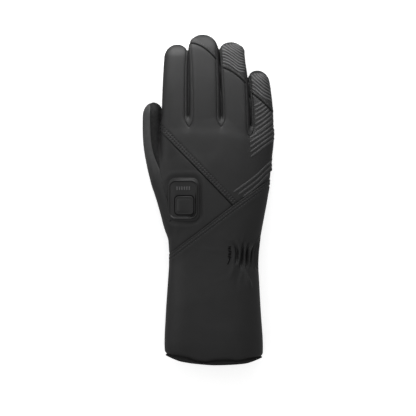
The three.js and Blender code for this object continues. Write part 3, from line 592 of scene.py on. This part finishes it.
def controlAway(x, y):  # signed distance from the outline of the control unit
    c = control
    ax = np.abs(x - c["x"]) - (c["width"] / 2 - c["corner"])
    ay = np.abs(y - c["y"]) - (c["length"] / 2 - c["corner"])
    return np.hypot(np.maximum(ax, 0), np.maximum(ay, 0)) + np.minimum(np.maximum(ax, ay), 0) - c["corner"]


def toNearestGusset(x, y):
    return np.min([np.abs(toGusset(i, x, y)) for i in range(3)], axis=0)


def relief(name, p):
    x, y, z = p.T
    out = waves(p) * ease(hemY, hemY + 12, y) + folds(p)
    if name == "gauntlet":
        d = -toLine(seams["cuff"], x, y)
        out = out + gathers(p) + pinch("cuff", d) + ease(-2, 1, toSide(y, z)) * lapped(seams["cuff"], d, x, y)
        return out - sewing["hemRoll"] * bell(y - hemAt(x), sewing["hemRollWidth"])
    if name.startswith("thumb"):
        return out + pinch("thumb", toThumbSeam(x, y)) * ease(4, 10, z)
    d = toLine(seams["panel"], x, y)
    out = out + pinch("cuff", toLine(seams["cuff"], x, y)) + gathers(p)
    if name == "wrist_panel":
        away = controlAway(x, y)
        c = control
        return (out + pinch("panel", d) - c["moat"] * bell(np.maximum(away, 0), c["moatWidth"])
                + c["bank"] * bell(away - c["bankAt"], c["moatWidth"]))
    out = out + pinch("side", toSide(y, z))
    if name == "palm":
        return out + pinch("palmGusset", toNearestGusset(x, y))
    out = out + pinch("gusset", toNearestGusset(x, y))
    if name == "hand_back":
        out = out + lapped(seams["panel"], d, x, y) - sewing["panelEdge"] * bell(d, sewing["edgeWidth"])
        for row in capRows.values():
            d = toCap(row, x, y)
            near = ease(0, 1, insideFinger(row[0], x, y)) * (d > -12)
            out = out + near * pinch("cap", np.minimum(d, 0))
    if name in capRows:
        d = toCap(capRows[name], x, y)
        out = out + sewing["capLap"] * (1 - ease(4, 7, d)) - sewing["capEdge"] * bell(d, sewing["edgeWidth"])
        if name != "middle_tip":  # a channel sets the seam's band off from the ribs
            out = out - sewing["bandDepth"] * bell(d - sewing["capBand"], sewing["bandWidth"])
    return out


def toSeams(name, p):  # distance from the nearest seam of a panel
    x, y, z = p.T
    away = [np.abs(toThumbSeam(x, y)) if name.startswith("thumb") else np.abs(toLine(seams["cuff"], x, y))]
    if name in ("hand_back", "wrist_panel"):
        away.append(np.abs(toLine(seams["panel"], x, y)))
    if name == "gauntlet":
        away.append(np.abs(y - hemAt(x)) * 1.2)
    elif not name.startswith("thumb") and name != "wrist_panel":
        away.append(toNearestGusset(x, y))
    if name in capRows:
        d = toCap(capRows[name], x, y)
        away += [np.abs(d), np.abs(d - sewing["capBand"]) + (0.3 if name != "middle_tip" else 9)]
    if name == "hand_back":
        for row in capRows.values():
            away.append(np.where(insideFinger(row[0], x, y) > 0, np.abs(toCap(row, x, y)), 9))
    return np.min(away, axis=0)


def paintedShadeAt(name, p):  # painted shade: 1 in a seam, 0 away from it
    x, y, z = p.T
    shade = np.exp(-toSeams(name, p) / 0.6)
    if name == "gauntlet":
        # painted shade in the valleys of the gathers
        shade = np.maximum(shade, np.clip(-0.9 - gathers(p), 0, 1.2) / 1.2)
        # painted shade in the needle holes of the cuff's stitched band
        shade = np.maximum(shade, stitchHoles(seams["cuff"], -toLine(seams["cuff"], x, y), x, y))
    if name == "hand_back":
        # painted shade in the needle holes of the panel's stitched band
        shade = np.maximum(shade, stitchHoles(seams["panel"], toLine(seams["panel"], x, y), x, y))
    # painted shade: the outer thumb's painted highlight fades towards the root
    if name == "thumb_outer":
        shade = np.maximum(shade, 1 - ease(*sewing["thumbShade"], y))
    return shade


# Materials

def setInputs(node, values):
    for name, value in values.items():
        node.inputs[name].default_value = value


def newMaterial(name):
    material = bpy.data.materials.new(name)
    material.use_nodes = True
    return material, material.node_tree.nodes, material.node_tree.links


def clothGroup():
    # grain of a brushed cloth: fine threads crossed with soft mottling; puts out a tone and a height
    group = bpy.data.node_groups.new("cloth grain", "ShaderNodeTree")
    for name, value in [("Thread", 0.6), ("Mottle", 12.0), ("Weave Share", 0.5)]:
        socket = group.interface.new_socket(name, in_out="INPUT", socket_type="NodeSocketFloat")
        socket.default_value = value
    for name in ("Tone", "Height"):
        group.interface.new_socket(name, in_out="OUTPUT", socket_type="NodeSocketFloat")
    nodes, links = group.nodes, group.links
    inside, outside = nodes.new("NodeGroupInput"), nodes.new("NodeGroupOutput")
    where = nodes.new("ShaderNodeTexCoord").outputs["Object"]

    def math(kind, a, b):
        node = nodes.new("ShaderNodeMath")
        node.operation = kind
        for socket, value in zip(node.inputs, (a, b)):
            if isinstance(value, (int, float)):
                socket.default_value = value
            else:
                links.new(value, socket)
        return node.outputs[0]

    def texture(kind, scale, **values):
        node = nodes.new(kind)
        links.new(where, node.inputs["Vector"])
        links.new(scale, node.inputs["Scale"])
        setInputs(node, values)
        return node

    pitch = math("DIVIDE", 314.16, inside.outputs["Thread"])  # a wave texture repeats every 0.314 / scale
    threads = []
    for direction in ("X", "Y"):
        wave = texture("ShaderNodeTexWave", pitch, Distortion=1.2, Detail=1.0)
        wave.bands_direction = direction
        threads.append(wave.outputs["Fac"])
    grain = texture("ShaderNodeTexNoise", math("DIVIDE", 700.0, inside.outputs["Thread"]), Detail=3.0)
    mottle = texture("ShaderNodeTexNoise", math("DIVIDE", 1000.0, inside.outputs["Mottle"]), Detail=4.0)
    share = inside.outputs["Weave Share"]
    height = math("ADD", math("MULTIPLY", math("MULTIPLY", threads[0], threads[1]), share),
                  math("MULTIPLY", grain.outputs["Fac"], math("SUBTRACT", 1.0, share)))
    tone = math("ADD", math("MULTIPLY", mottle.outputs["Fac"], 0.6), math("MULTIPLY", height, 0.4))
    links.new(tone, outside.inputs["Tone"])
    links.new(height, outside.inputs["Height"])
    return group


clothGrain = clothGroup()


def clothMaterial(name, dark, light, roughness, thread, weave, bump, mottle=12.0, paintedShadeDepth=0.5,
                  specular=0.5):
    material, nodes, links = newMaterial(name)
    shader = nodes["Principled BSDF"]
    shader.inputs["Specular IOR Level"].default_value = specular
    grain = nodes.new("ShaderNodeGroup")
    grain.node_tree = clothGrain
    setInputs(grain, {"Thread": thread, "Mottle": mottle, "Weave Share": weave})
    ramp = nodes.new("ShaderNodeValToRGB")
    for element, place, tone in zip(ramp.color_ramp.elements, (0.25, 0.7), (dark, light)):
        element.position, element.color = place, (tone, tone, tone * 1.02, 1)
    links.new(grain.outputs["Tone"], ramp.inputs["Fac"])
    # the seam attribute carries painted shade: seams, gather valleys, needle holes and the thumb's root are
    # darkened
    shade = nodes.new("ShaderNodeAttribute")
    shade.attribute_name = "seam"
    darker = nodes.new("ShaderNodeMix")
    darker.data_type, darker.blend_type = "RGBA", "MULTIPLY"
    darker.inputs[7].default_value = [1 - paintedShadeDepth] * 3 + [1]
    links.new(shade.outputs["Fac"], darker.inputs[0])
    links.new(ramp.outputs["Color"], darker.inputs[6])
    links.new(darker.outputs[2], shader.inputs["Base Color"])
    rough = nodes.new("ShaderNodeMapRange")
    setInputs(rough, {"To Min": roughness - 0.05, "To Max": roughness + 0.05})
    links.new(grain.outputs["Height"], rough.inputs["Value"])
    links.new(rough.outputs["Result"], shader.inputs["Roughness"])
    raised = nodes.new("ShaderNodeBump")
    setInputs(raised, {"Strength": bump, "Distance": 0.0002})
    links.new(grain.outputs["Height"], raised.inputs["Height"])
    links.new(raised.outputs["Normal"], shader.inputs["Normal"])
    return material


# name, dark and light tone, roughness, pitch of the threads in mm, share of weave in the grain, bump, size of
# the mottling in mm, how much the painted shade of the seam attribute darkens it, specular level
materialRows = {
    "softshell": ("brushed softshell", 0.011, 0.016, 0.56, 0.5, 0.5, 0.2),
    "gusset": ("stretch gusset cloth", 0.011, 0.016, 0.58, 0.45, 0.8, 0.3),
    "tip": ("ribbed tip cloth", 0.014, 0.021, 0.55, 0.5, 0.7, 0.3),
    "palm": ("suede palm", 0.009, 0.014, 0.75, 0.9, 0.1, 0.5, 5.0),
    # painted highlight: the outer thumb's cloth is made lighter where light from the left falls on the thumb
    "thumbOuterPaintedLight": ("outer thumb cloth with painted highlight", 0.038, 0.066, 0.6, 0.9, 0.3, 0.5, 3.5, 0.7),
    "thumb": ("suede thumb", 0.001, 0.016, 0.72, 0.9, 0.1, 1.0, 2.6, 0.5, 0.3),
    "lining": ("lining knit", 0.007, 0.011, 0.85, 1.0, 0.9, 0.6),
    "thread": ("sewing thread", 0.05, 0.07, 0.5, 0.3, 0.9, 0.2),
    "tack": ("tack thread", 0.001, 0.002, 0.7, 0.3, 0.9, 0.2, 12.0, 0.5, 0.05),
    "rib": ("rubberised rib", 0.036, 0.046, 0.5, 0.4, 0.2, 0.1),
    # painted light: a lighter copy of the rib material, for the light that the fingertips catch
    "tipRibPaintedLight": ("fingertip rib painted lighter", 0.082, 0.11, 0.5, 0.4, 0.2, 0.1),
    "control": ("moulded control", 0.011, 0.014, 0.45, 0.5, 0.0, 0.1),
    "light": ("light window", 0.1, 0.14, 0.3, 0.5, 0.0, 0.05),
}
materials = {key: clothMaterial(*row) for key, row in materialRows.items()}
print("materials:", len(materials))


# Pieces

def placed(name, data):
    thing = bpy.data.objects.new(name, data)
    bpy.context.scene.collection.objects.link(thing)
    return thing


def makePiece(name, p, faces, material, nodes=(), slot=None, shade=None):
    # p in millimetres, faces as rows of corners, shade as the share of painted shade at each point
    mesh = bpy.data.meshes.new(name)
    mesh.vertices.add(len(p))
    mesh.vertices.foreach_set("co", (p * 0.001).astype(np.float32).ravel())
    mesh.loops.add(faces.size)
    mesh.loops.foreach_set("vertex_index", faces.astype(np.int32).ravel())
    mesh.polygons.add(len(faces))
    mesh.polygons.foreach_set("loop_start", np.arange(0, faces.size, faces.shape[1], dtype=np.int32))
    mesh.update(calc_edges=True)
    # painted shade goes into the seam attribute
    if shade is not None:
        mesh.attributes.new("seam", "FLOAT", "POINT").data.foreach_set("value", shade.astype(np.float32))
    mesh.validate()
    mesh.shade_smooth()
    mesh.materials.append(material)
    piece = placed(name, mesh)
    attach(piece, "root")
    if nodes:
        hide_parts(*nodes)


def walled(p, n, faces, thickness):
    # a sheet of triangles given a back at a distance inside it, and a rim along its open edges
    edges = np.concatenate([faces[:, [0, 1]], faces[:, [1, 2]], faces[:, [2, 0]]])
    _, first, number = np.unique(np.sort(edges, 1), axis=0, return_index=True, return_counts=True)
    a, b = edges[first[number == 1]].T
    count = len(p)
    sides = np.concatenate([np.stack([b, a, a + count], 1), np.stack([b, a + count, b + count], 1)])
    return np.concatenate([p, p - n * thickness]), np.concatenate([faces, faces[:, ::-1] + count, sides])


panelLooks = {  # material, slot of the record
    **dict.fromkeys(["gauntlet", "hand_back", "wrist_panel"], ("softshell", "softshell")),
    **dict.fromkeys(gussetNames, ("gusset", "gusset_fabric")),
    **dict.fromkeys(capRows, ("tip", "tip_fabric")),
    "palm": ("palm", "palm_fabric"), "thumb_inner": ("thumb", "palm_fabric"),
    "thumb_outer": ("thumbOuterPaintedLight", "softshell"),
}
# where the triangles are fine: near seams, on the gathers and in the stitched bands beside the two slanting
# seams, each above a height of its own
fineness = {"seam": 1.6, "seamZ": 6.0, "gather": 0.7, "gatherReach": 16.0, "gatherZ": 20.0,
            "band": 3.0, "bandZ": 18.0}
for name, faces in panels.items():
    x, y, z = xyz()
    f = fineness
    fine = (toSeams(name, points) < f["seam"]) & (z > f["seamZ"])
    near = (np.abs(y - gatherY) < f["gatherReach"]) & (z > f["gatherZ"])
    fine |= near & (np.abs(gathers(points)) > f["gather"])
    if not name.startswith("thumb"):
        for d in (-toLine(seams["cuff"], x, y), toLine(seams["panel"], x, y)):
            fine |= (np.abs(d - f["band"]) < f["band"]) & (z > f["bandZ"])
    faces = refined(faces, fine)
    used, place = np.unique(faces, return_inverse=True)
    p = points[used]
    n = unit(fieldNormals(p))
    # painted shade for the seam attribute
    shade = paintedShadeAt(name, p)
    p = p + n * (relief(name, p) * ease(0.2, 3, p[:, 2]))[:, None]  # plain where it lies on the ground
    p[:, 2] = np.maximum(p[:, 2], 0.02)
    p, faces = walled(p, n, place.reshape(-1, 3), glove["wall"])
    look, slot = panelLooks[name]
    makePiece(name + "_cloth", p, faces, materials[look], [name], slot, np.concatenate([shade, shade * 0]))
print("cloth: made", len(panels), "panels")

# What lies on the cloth is seated on its surface first

solid = field < 0
topIndex = field.shape[2] - 1 - solid[:, :, ::-1].argmax(2)
topHeight = grid["low"][2] + grid["step"] * np.where(solid.any(2), topIndex, 3)


def onTop(x, y):  # points of the upper surface at x and y, moved up or down until the field is 0 there
    at = np.stack([(x - grid["low"][0]), (y - grid["low"][1])], 1) / grid["step"]
    i = np.clip(at.round().astype(int), 0, np.array(topHeight.shape) - 1)
    p = np.stack([x, y, topHeight[i[:, 0], i[:, 1]]], 1)
    for _ in range(4):
        slope = np.maximum(fieldNormals(p, 0.5)[:, 2], 0.25)
        p[:, 2] -= np.clip(readField(p) / slope, -2, 2)
    return p


def lifted(name, p, lift=0.0):  # out of the cloth's relief by lift
    n = unit(fieldNormals(p))
    return p + n * (relief(name, p) + lift)[:, None], n


def carried(path, normals, width, rise, sink, sides=8):
    # a closed profile carried along a path, narrower at both ends: half an ellipse of height rise above the
    # path and one of depth sink below it
    along = unit(np.gradient(path, axis=0))
    across = unit(np.cross(along, normals))
    s = np.linspace(-1, 1, len(path))
    narrow = np.maximum(np.clip(1 - np.abs(s) ** 14, 0, 1) ** 0.5, 0.02)[:, None, None]
    turn = 2 * np.pi * np.arange(sides) / sides
    up = np.where(np.sin(turn) > 0, rise, sink) * np.sign(np.sin(turn)) * np.abs(np.sin(turn)) ** 0.7
    side = -width / 2 * np.cos(turn)
    return path[:, None] + narrow * (across[:, None] * side[:, None] + normals[:, None] * up[:, None])


def gridFaces(rows, columns, closed=False):  # quads between rings of points, closed round each ring
    i, j = np.meshgrid(np.arange(rows if closed else rows - 1), np.arange(columns), indexing="ij")
    k, m = (j + 1) % columns, (i + 1) % rows
    return np.stack([i * columns + j, i * columns + k, m * columns + k, m * columns + j], -1).reshape(-1, 4)


def halves(quads):
    return np.concatenate([quads[:, :3], quads[:, [0, 2, 3]]])


def joinedTubes(tubes):
    # every tube is an array of rings; its ends are closed by a fan onto one point each
    allPoints, allFaces, count = [], [], 0
    for rings in tubes:
        rows, columns, _ = rings.shape
        faces = gridFaces(rows, columns)
        first, centre = np.arange(columns), rows * columns
        last = first + (rows - 1) * columns
        allPoints.append(np.concatenate([rings.reshape(-1, 3), rings[:1].mean(1), rings[-1:].mean(1)]))
        allFaces.append(count + np.concatenate([
            halves(faces), np.stack([np.roll(first, -1), first, 0 * first + centre], 1),
            np.stack([last, np.roll(last, -1), 0 * last + centre + 1], 1)]))
        count += centre + 2
    return outward(np.concatenate(allPoints), np.concatenate(allFaces))


def outward(p, faces):  # the whole mesh turned so that its volume is positive
    a, b, c = p[faces[:, 0]], p[faces[:, 1]], p[faces[:, 2]]
    return p, faces if (a * np.cross(b, c)).sum() > 0 else faces[:, ::-1]


# Ribs on the little finger, on the hand below it, and on the two ribbed fingertips

ribs = {
    "width": 2.3, "rise": 0.42, "sink": 0.5, "count": 13, "pitch": 4.4, "lowestDrop": 28.1,
    "lowSlope": 0.74, "highSlope": 0.54,
    "longCount": 3, "longPitch": 3.7, "longStagger": 1.6, "longOffset": 11.4, "longSlope": 0.79,
    "tipWidth": 1.6, "ringPitch": 2.8, "littlePitch": 3.6, "tipFirst": 5.4, "tipRise": 0.55, "tipSink": 0.4,
    "tipCount": 16, "tipEnd": 0.93,  # the last ones end before this share of the round tip
    "arcX": 47.5, "arcZ": 19.0, "arcWidth": 14.5, "arcHeight": 15.0,  # the arc that their paths start from
}


def roundSide(startX, startY, slope):
    # points from startX outwards, then on the arc round the outer side, on a sloping line seen from above
    r = ribs
    angle = np.radians(np.linspace(100, -22, 70))
    x, z = r["arcX"] + r["arcWidth"] * np.cos(angle), r["arcZ"] + r["arcHeight"] * np.sin(angle)
    if startX < x[0]:
        lead = np.linspace(startX, x[0], 30)[:-1]
        x, z = np.concatenate([lead, x]), np.concatenate([0 * lead + z[0], z])
    first = np.argmax(x >= startX - 0.01)
    return np.stack([x, startY + slope * (x - startX), z], 1)[first:]


def seatedPath(path, count=64):
    p = seated(path, 6)
    length = np.concatenate([[0], np.cumsum(np.linalg.norm(np.diff(p, axis=0), axis=1))])
    s = np.linspace(0, length[-1], count)
    return seated(np.stack([np.interp(s, length, p[:, k]) for k in range(3)], 1), 2)


def firstRun(keep):  # the part of a path up to where it first leaves its panel
    return keep & (np.cumsum(~keep) == 0)


def rib(name, path, count=64):
    p, n = lifted(name, seatedPath(path, count))
    if name == "hand_back":
        return carried(p, n, ribs["width"], ribs["rise"], ribs["sink"])
    return carried(p, n, ribs["tipWidth"], ribs["tipRise"], ribs["tipSink"])


r = ribs
tubes = []
for i in range(r["count"]):
    y0 = crotchY - r["lowestDrop"] + i * r["pitch"]
    onHand = y0 < crotchY - gussets[2, 0]
    x0 = float(gapX(2, np.array(y0))) + (-0.8 if onHand else gussets[2, 2] + 0.7)
    p = seatedPath(roundSide(x0, y0, mix(r["lowSlope"], r["highSlope"], i / r["count"])))
    if not onHand:  # a start that was drawn onto the next finger is left out
        p = p[(toGusset(2, p[:, 0], p[:, 1]) < -0.5) & (insideFinger(3, p[:, 0], p[:, 1]) > 0)]
    x, y, z = p.T
    keep = firstRun((toCap(capRows["little_tip"], x, y) < -0.6) & (toSide(y, z) > 0.8))
    if keep.sum() > 16:  # a shorter one is left out
        tubes.append(rib("hand_back", p[keep]))
turn = np.arctan(r["longSlope"])
meet = seams["panel"][2]
for i in range(r["longCount"]):
    x0 = meet[0] + i * (r["longPitch"] * np.sin(turn) + r["longStagger"] * np.cos(turn))
    y0 = meet[1] + r["longOffset"] + i * (r["longStagger"] * np.sin(turn) - r["longPitch"] * np.cos(turn))
    p = seatedPath(roundSide(x0, y0, r["longSlope"]), 90)
    tubes.append(rib("hand_back", p[firstRun(toSide(p[:, 1], p[:, 2]) > 0.8)], 90))
makePiece("side_ribs", *joinedTubes(tubes), materials["rib"], slot="softshell")

for name, pitch in (("ring_tip", r["ringPitch"]), ("little_tip", r["littlePitch"])):
    row = capRows[name]
    index = row[0]
    centre, half, bottom, top = readRows(fingerLimbs[index], fingerTips[index] - fingers[index, 4])
    middle = mix(bottom, top, glove["middle"])
    angle = np.radians(np.linspace(172, 8, 90))
    across = np.cos(angle)
    tubes = []
    for k in range(r["tipCount"]):
        y = capSeamY(row, across) + r["tipFirst"] + k * pitch
        past = np.maximum(y - (fingerTips[index] - fingers[index, 4]), 0) / fingers[index, 4]
        narrow = np.sqrt(np.clip(1 - past ** glove["tipSquare"], 0, 1))
        z = middle + (top - middle) * np.sin(angle) * narrow
        path = np.stack([centre + half * across * narrow, y, z], 1)[past < r["tipEnd"]]
        if len(path) < 12:
            continue
        p = seatedPath(path)
        x, y, z = p.T
        keep = (toSide(y, z) > 1) & (toGusset(index - 1, x, y) < -0.7)
        keep &= toGusset(min(index, 2), x, y) < -0.7
        if keep.sum() > 8:
            tubes.append(rib(name, p[keep], 48))
    makePiece(name + "_ribs", *joinedTubes(tubes), materials["tipRibPaintedLight"], slot="tip_fabric")
print("ribs: made")


# Stitches along the seams

def alongLine(line, away, first, last, spacing):
    # points at even spacing on a line of straight pieces seen from above, moved sideways by away
    length = np.concatenate([[0], np.cumsum(np.linalg.norm(np.diff(line, axis=0), axis=1))])
    s = np.arange(first, last, spacing)
    at, ahead, behind = [np.stack([np.interp(s + e, length, line[:, k]) for k in range(2)], 1)
                         for e in (0, 0.1, -0.1)]
    along = unit(ahead - behind)
    return at + away * np.stack([-along[:, 1], along[:, 0]], 1), along


def stitches(name, at, along, length, thick, slant=0.0):
    # each stitch is a short grain of thread lying on the cloth: an ellipsoid of 6 rings of 6 points
    p, n = lifted(name, onTop(at[:, 0], at[:, 1]), 0.05)
    ahead = np.stack([along[:, 0], along[:, 1], np.zeros(len(at))], 1)
    side = unit(np.cross(n, ahead))
    ahead = unit(np.cross(side, n))
    ahead, side = unit(ahead + slant * side), unit(side - slant * ahead)
    u, v = np.linspace(0, np.pi, 6), 2 * np.pi * np.arange(6) / 6
    ring = np.maximum(np.sin(u), 0.02)[:, None] * thick / 2
    p, ahead, side, n = (a[:, None, None] for a in (p, ahead, side, n))
    return list(p - ahead * (length / 2 * np.cos(u))[:, None, None] + side * (ring * np.cos(v))[..., None]
                + n * (ring * np.sin(v))[..., None])


w = sewing
tubes = []
end = np.linalg.norm(np.diff(seams["panel"][:3], axis=0), axis=1).sum() - 2  # just short of the cuff's seam
for row in w["rows"]:
    at, along = alongLine(seams["panel"], row, 20, end, w["pitch"])
    x, y = at.T
    keep = (thumbField(x, y, onTop(x, y)[:, 2]) > 1.5) & (handField(x, y, 0 * x + 24) < -1)
    tubes += stitches("hand_back", at[keep], along[keep], w["length"], w["thick"], w["slant"])
    at, along = alongLine(seams["cuff"], -row, 20, 220, w["pitch"])
    x, y = at.T
    centre, half, _, _ = readRows(handLimb, y)
    keep = np.abs(x - centre) < half * 0.97
    tubes += stitches("gauntlet", at[keep], along[keep], w["length"], w["thick"], -w["slant"])
for name, row in capRows.items():
    across = np.arange(-0.78, 0.8, 2 * w["capPitch"] / fingers[row[0], 1])
    y = capSeamY(row, across)
    centre, half = fingerMiddle(row[0], y)
    at = np.stack([centre + half * across, y + w["rows"][0]], 1)
    tubes += stitches(name, at, unit(np.gradient(at, axis=0)), w["capLength"], w["capThick"], w["capSlant"])
makePiece("seam_stitches", *joinedTubes(tubes), materials["thread"], slot="softshell")
print("stitches:", len(tubes))

# the tack that holds the elastic: a row of short bars across, and a tail of thread below them
tack = {"x": 19.6, "top": -43.8, "count": 8, "pitch": 1.4, "length": 3.2, "thick": 0.95,
        "tail": np.array([[19.6, -55.2], [18.9, -57.0], [18.1, -58.7]]), "tailLength": 2.6, "tailThick": 0.9}
y = tack["top"] - tack["pitch"] * np.arange(tack["count"])
at = np.stack([tack["x"] + 0.35 * np.sin(y), y], 1)
tubes = stitches("gauntlet", at, np.tile([1.0, 0.12], (len(y), 1)), tack["length"], tack["thick"])
tubes += stitches("gauntlet", tack["tail"], np.tile([-0.4, -1.0], (3, 1)), tack["tailLength"],
                  tack["tailThick"])
makePiece("wrist_tack", *joinedTubes(tubes), materials["tack"], slot="softshell")


# The control unit: loops of a rounded rectangle, each at its own inset and height above the cloth

def roundedOutline(width, length, corner, x, y):
    # counter-clockwise from the right, with points on its straight sides
    arc = np.radians(np.linspace(0, 90, 9))
    half = np.array([width / 2 - corner, length / 2 - corner])
    arcs = [half * sign + corner * np.stack([np.cos(arc + q * np.pi / 2), np.sin(arc + q * np.pi / 2)], 1)
            for q, sign in enumerate([(1, 1), (-1, 1), (-1, -1), (1, -1)])]
    share = np.linspace(0, 1, 10)[1:-1, None]
    sides = [mix(arcs[q][-1], arcs[(q + 1) % 4][0], share) for q in range(4)]
    return np.concatenate([part for pair in zip(arcs, sides) for part in pair]) + [x, y]


def aboveCloth(outlines, heights):  # one ring for each outline, raised along the cloth's own slow slope
    count = len(outlines[0])
    flat = np.concatenate(outlines)
    p = onTop(flat[:, 0], flat[:, 1])
    heights = np.concatenate([np.broadcast_to(h, count) for h in heights])
    return (p + unit(fieldNormals(p, 4.0)) * heights[:, None]).reshape(-1, count, 3)


c = control
outlines = [roundedOutline(c["width"] - 2 * a, c["length"] - 2 * b, c["corner"] - 0.6 * a, c["x"], c["y"])
            for a, b, _ in c["profile"]]
heights = [h for _, _, h in c["profile"]]
inner = roundedOutline(c["width"] - 2 * c["innerX"], c["length"] - 2 * c["innerY"], c["innerCorner"],
                       c["x"], c["y"])
out = (inner - [c["x"], c["y"]]) / [c["width"] / 2 - c["innerX"], c["length"] / 2 - c["innerY"]]
# the groove runs down the right side and along the foot
dip = ease(0.55, 0.95, out[:, 0]) * ease(0.35, 0.15, out[:, 1])
dip = np.clip(dip + ease(0.1, 0.8, out[:, 0]) * ease(-0.8, -0.95, out[:, 1]), 0, 1) * c["groove"]
keyAt = c["x"] + c["keyX"], c["y"] + c["keyY"]
pocket = [roundedOutline(c["keyWidth"] + 2 * (c["keyGap"] - a), c["keyLength"] + 2 * (c["keyGap"] - a),
                         c["keyCorner"] + c["keyGap"] - a, *keyAt) for a, _ in c["pocket"]]
for share, low in [(0.0, 0.0), (0.25, 1.0), (0.8, 1.0), (1.0, 0.0)]:
    outlines.append(mix(outlines[len(c["profile"]) - 1], inner, share))
    heights.append(c["face"] - low * dip)
outlines += [mix(inner, pocket[0], share) for share in (0.2, 0.4, 0.6, 0.8, 0.96)] + pocket
heights += [c["face"]] * 5 + [c["face"] + h for _, h in c["pocket"]]
rings = aboveCloth(outlines, heights)
makePiece("control_body", *joinedTubes([rings]), materials["control"], ["control_housing"], "control_rubber")
outlines = [roundedOutline(c["keyWidth"] - 2 * a, c["keyLength"] - 2 * a,
                           max(c["keyCorner"] - 0.6 * a, 0.8), *keyAt) for a, _ in c["key"]]
rings = aboveCloth(outlines, [c["face"] + h for _, h in c["key"]])
makePiece("control_pad", *joinedTubes([rings]), materials["control"], ["control_key"], "control_rubber")
for i in range(c["lights"]):
    x = c["x"] + (i - (c["lights"] - 1) / 2) * c["lightPitch"]
    outlines = [roundedOutline(c["lightWidth"] - 2 * a, c["lightLength"] - 2 * a, 0.2 - 0.1 * a, x,
                               c["y"] + c["lightUp"]) for a, _ in c["light"]]
    rings = aboveCloth(outlines, [c["face"] + h for _, h in c["light"]])
    makePiece(f"light_window_{i + 1}", *joinedTubes([rings]), materials["light"], [f"level_light_{i + 1}"],
              "light_window")
print("control unit: made")

# The lining's edge: a closed section carried round the cuff's mouth, rolled outwards over the hem

lining = {
    # distance past the hem, inset from the shell's outer surface
    "section": np.array([
        [-26.0, 2.5], [-12.0, 2.5], [-1.0, 2.5], [0.3, 2.4], [0.8, 1.7], [1.2, 0.9], [1.8, 0.4],
        [2.4, 0.5], [2.8, 1.0], [2.95, 1.8], [2.7, 2.8], [2.0, 3.6], [0.8, 3.95], [-3.0, 4.0],
        [-14.0, 4.0], [-26.0, 4.0]]),
}
angle = np.radians(np.arange(0, 360, 1.5))
u, v = (np.sign(w) * np.abs(w) ** (2 / glove["handSquare"]) for w in (np.cos(angle), np.sin(angle)))
rings = []
for past, inset in lining["section"]:
    centre, half, bottom, top = readRows(handLimb, hemY - past)
    x = centre + half * u
    row = readRows(hemRows, (x - glove["wristCentreX"]) / glove["cuffWidth"])
    y = hemY - past + glove["hemRise"] * mix(row[0], row[1], np.clip(past / glove["liningProud"], 0, 1))
    centre, half, bottom, top = readRows(handLimb, y)
    middle = mix(bottom, top, glove["middle"])
    z = middle + np.where(v > 0, top - middle, middle - bottom) * v
    p = seated(np.stack([centre + half * u, y, z], 1), 3)
    n = fieldNormals(p, 0.7) * [1, 0, 1]
    p = p - unit(n) * inset
    p[:, 1] = y
    rings.append(p)
rings = np.array(rings)
faces = gridFaces(len(rings), len(angle), True)
makePiece("lining_edge", *outward(rings.reshape(-1, 3), halves(faces)),
          materials["lining"], ["cuff_lining"], "lining_knit")
print("lining: made")

# Floor, light and camera

# width of the view at the plane's height, its middle and the camera's distance, in mm; each light's name, its
# place and size in metres, and its power
stage = {"view": 378.56, "frameY": -8.74, "distance": 2000.0, "planeZ": 25.0, "world": 0.31, "floorGlow": 0.7,
         "lights": [("key", (0.0, 0.37, 0.13), 0.35, 1.2), ("tips", (-0.055, 0.185, 0.045), 0.08, 0.04),
                    ("left", (-0.75, 0.15, 0.3), 0.5, 0.9),
                    ("top", (0, -0.1, 1.3), 1.2, 1.4)]}


def setStage():
    mesh = bpy.data.meshes.new("floor")
    mesh.from_pydata([(-6, -6, 0), (6, -6, 0), (6, 6, 0), (-6, 6, 0)], [], [(0, 1, 2, 3)])
    floor = placed("floor", mesh)
    floor.visible_diffuse = floor.visible_glossy = False  # so that it throws no light up at the cloth's edges
    material, nodes, _ = newMaterial("pale floor")
    setInputs(nodes["Principled BSDF"], {
        "Base Color": (0.9, 0.9, 0.9, 1), "Roughness": 0.9, "Emission Color": (1, 1, 1, 1),
        "Emission Strength": stage["floorGlow"]})
    mesh.materials.append(material)
    world = bpy.data.worlds.new("studio")
    bpy.context.scene.world = world
    world.use_nodes = True
    setInputs(world.node_tree.nodes["Background"], {"Color": (1, 1, 1, 1), "Strength": stage["world"]})
    for name, place, size, power in stage["lights"]:
        light = bpy.data.lights.new(name, "AREA")
        light.size, light.energy = size, power
        lamp = placed(name, light)
        lamp.location = place
        lamp.visible_camera = False
        lamp.rotation_euler = (-Vector(place)).to_track_quat("-Z", "Y").to_euler()  # faces the glove
    camera = placed("camera", bpy.data.cameras.new("camera"))
    camera.location = (0, stage["frameY"] * 0.001, (stage["distance"] + stage["planeZ"]) * 0.001)
    camera.data.lens = camera.data.sensor_width * stage["distance"] / stage["view"]
    camera.data.clip_end = 20
    bpy.context.scene.camera = camera
    bpy.context.scene.view_settings.view_transform = "Standard"


setStage()
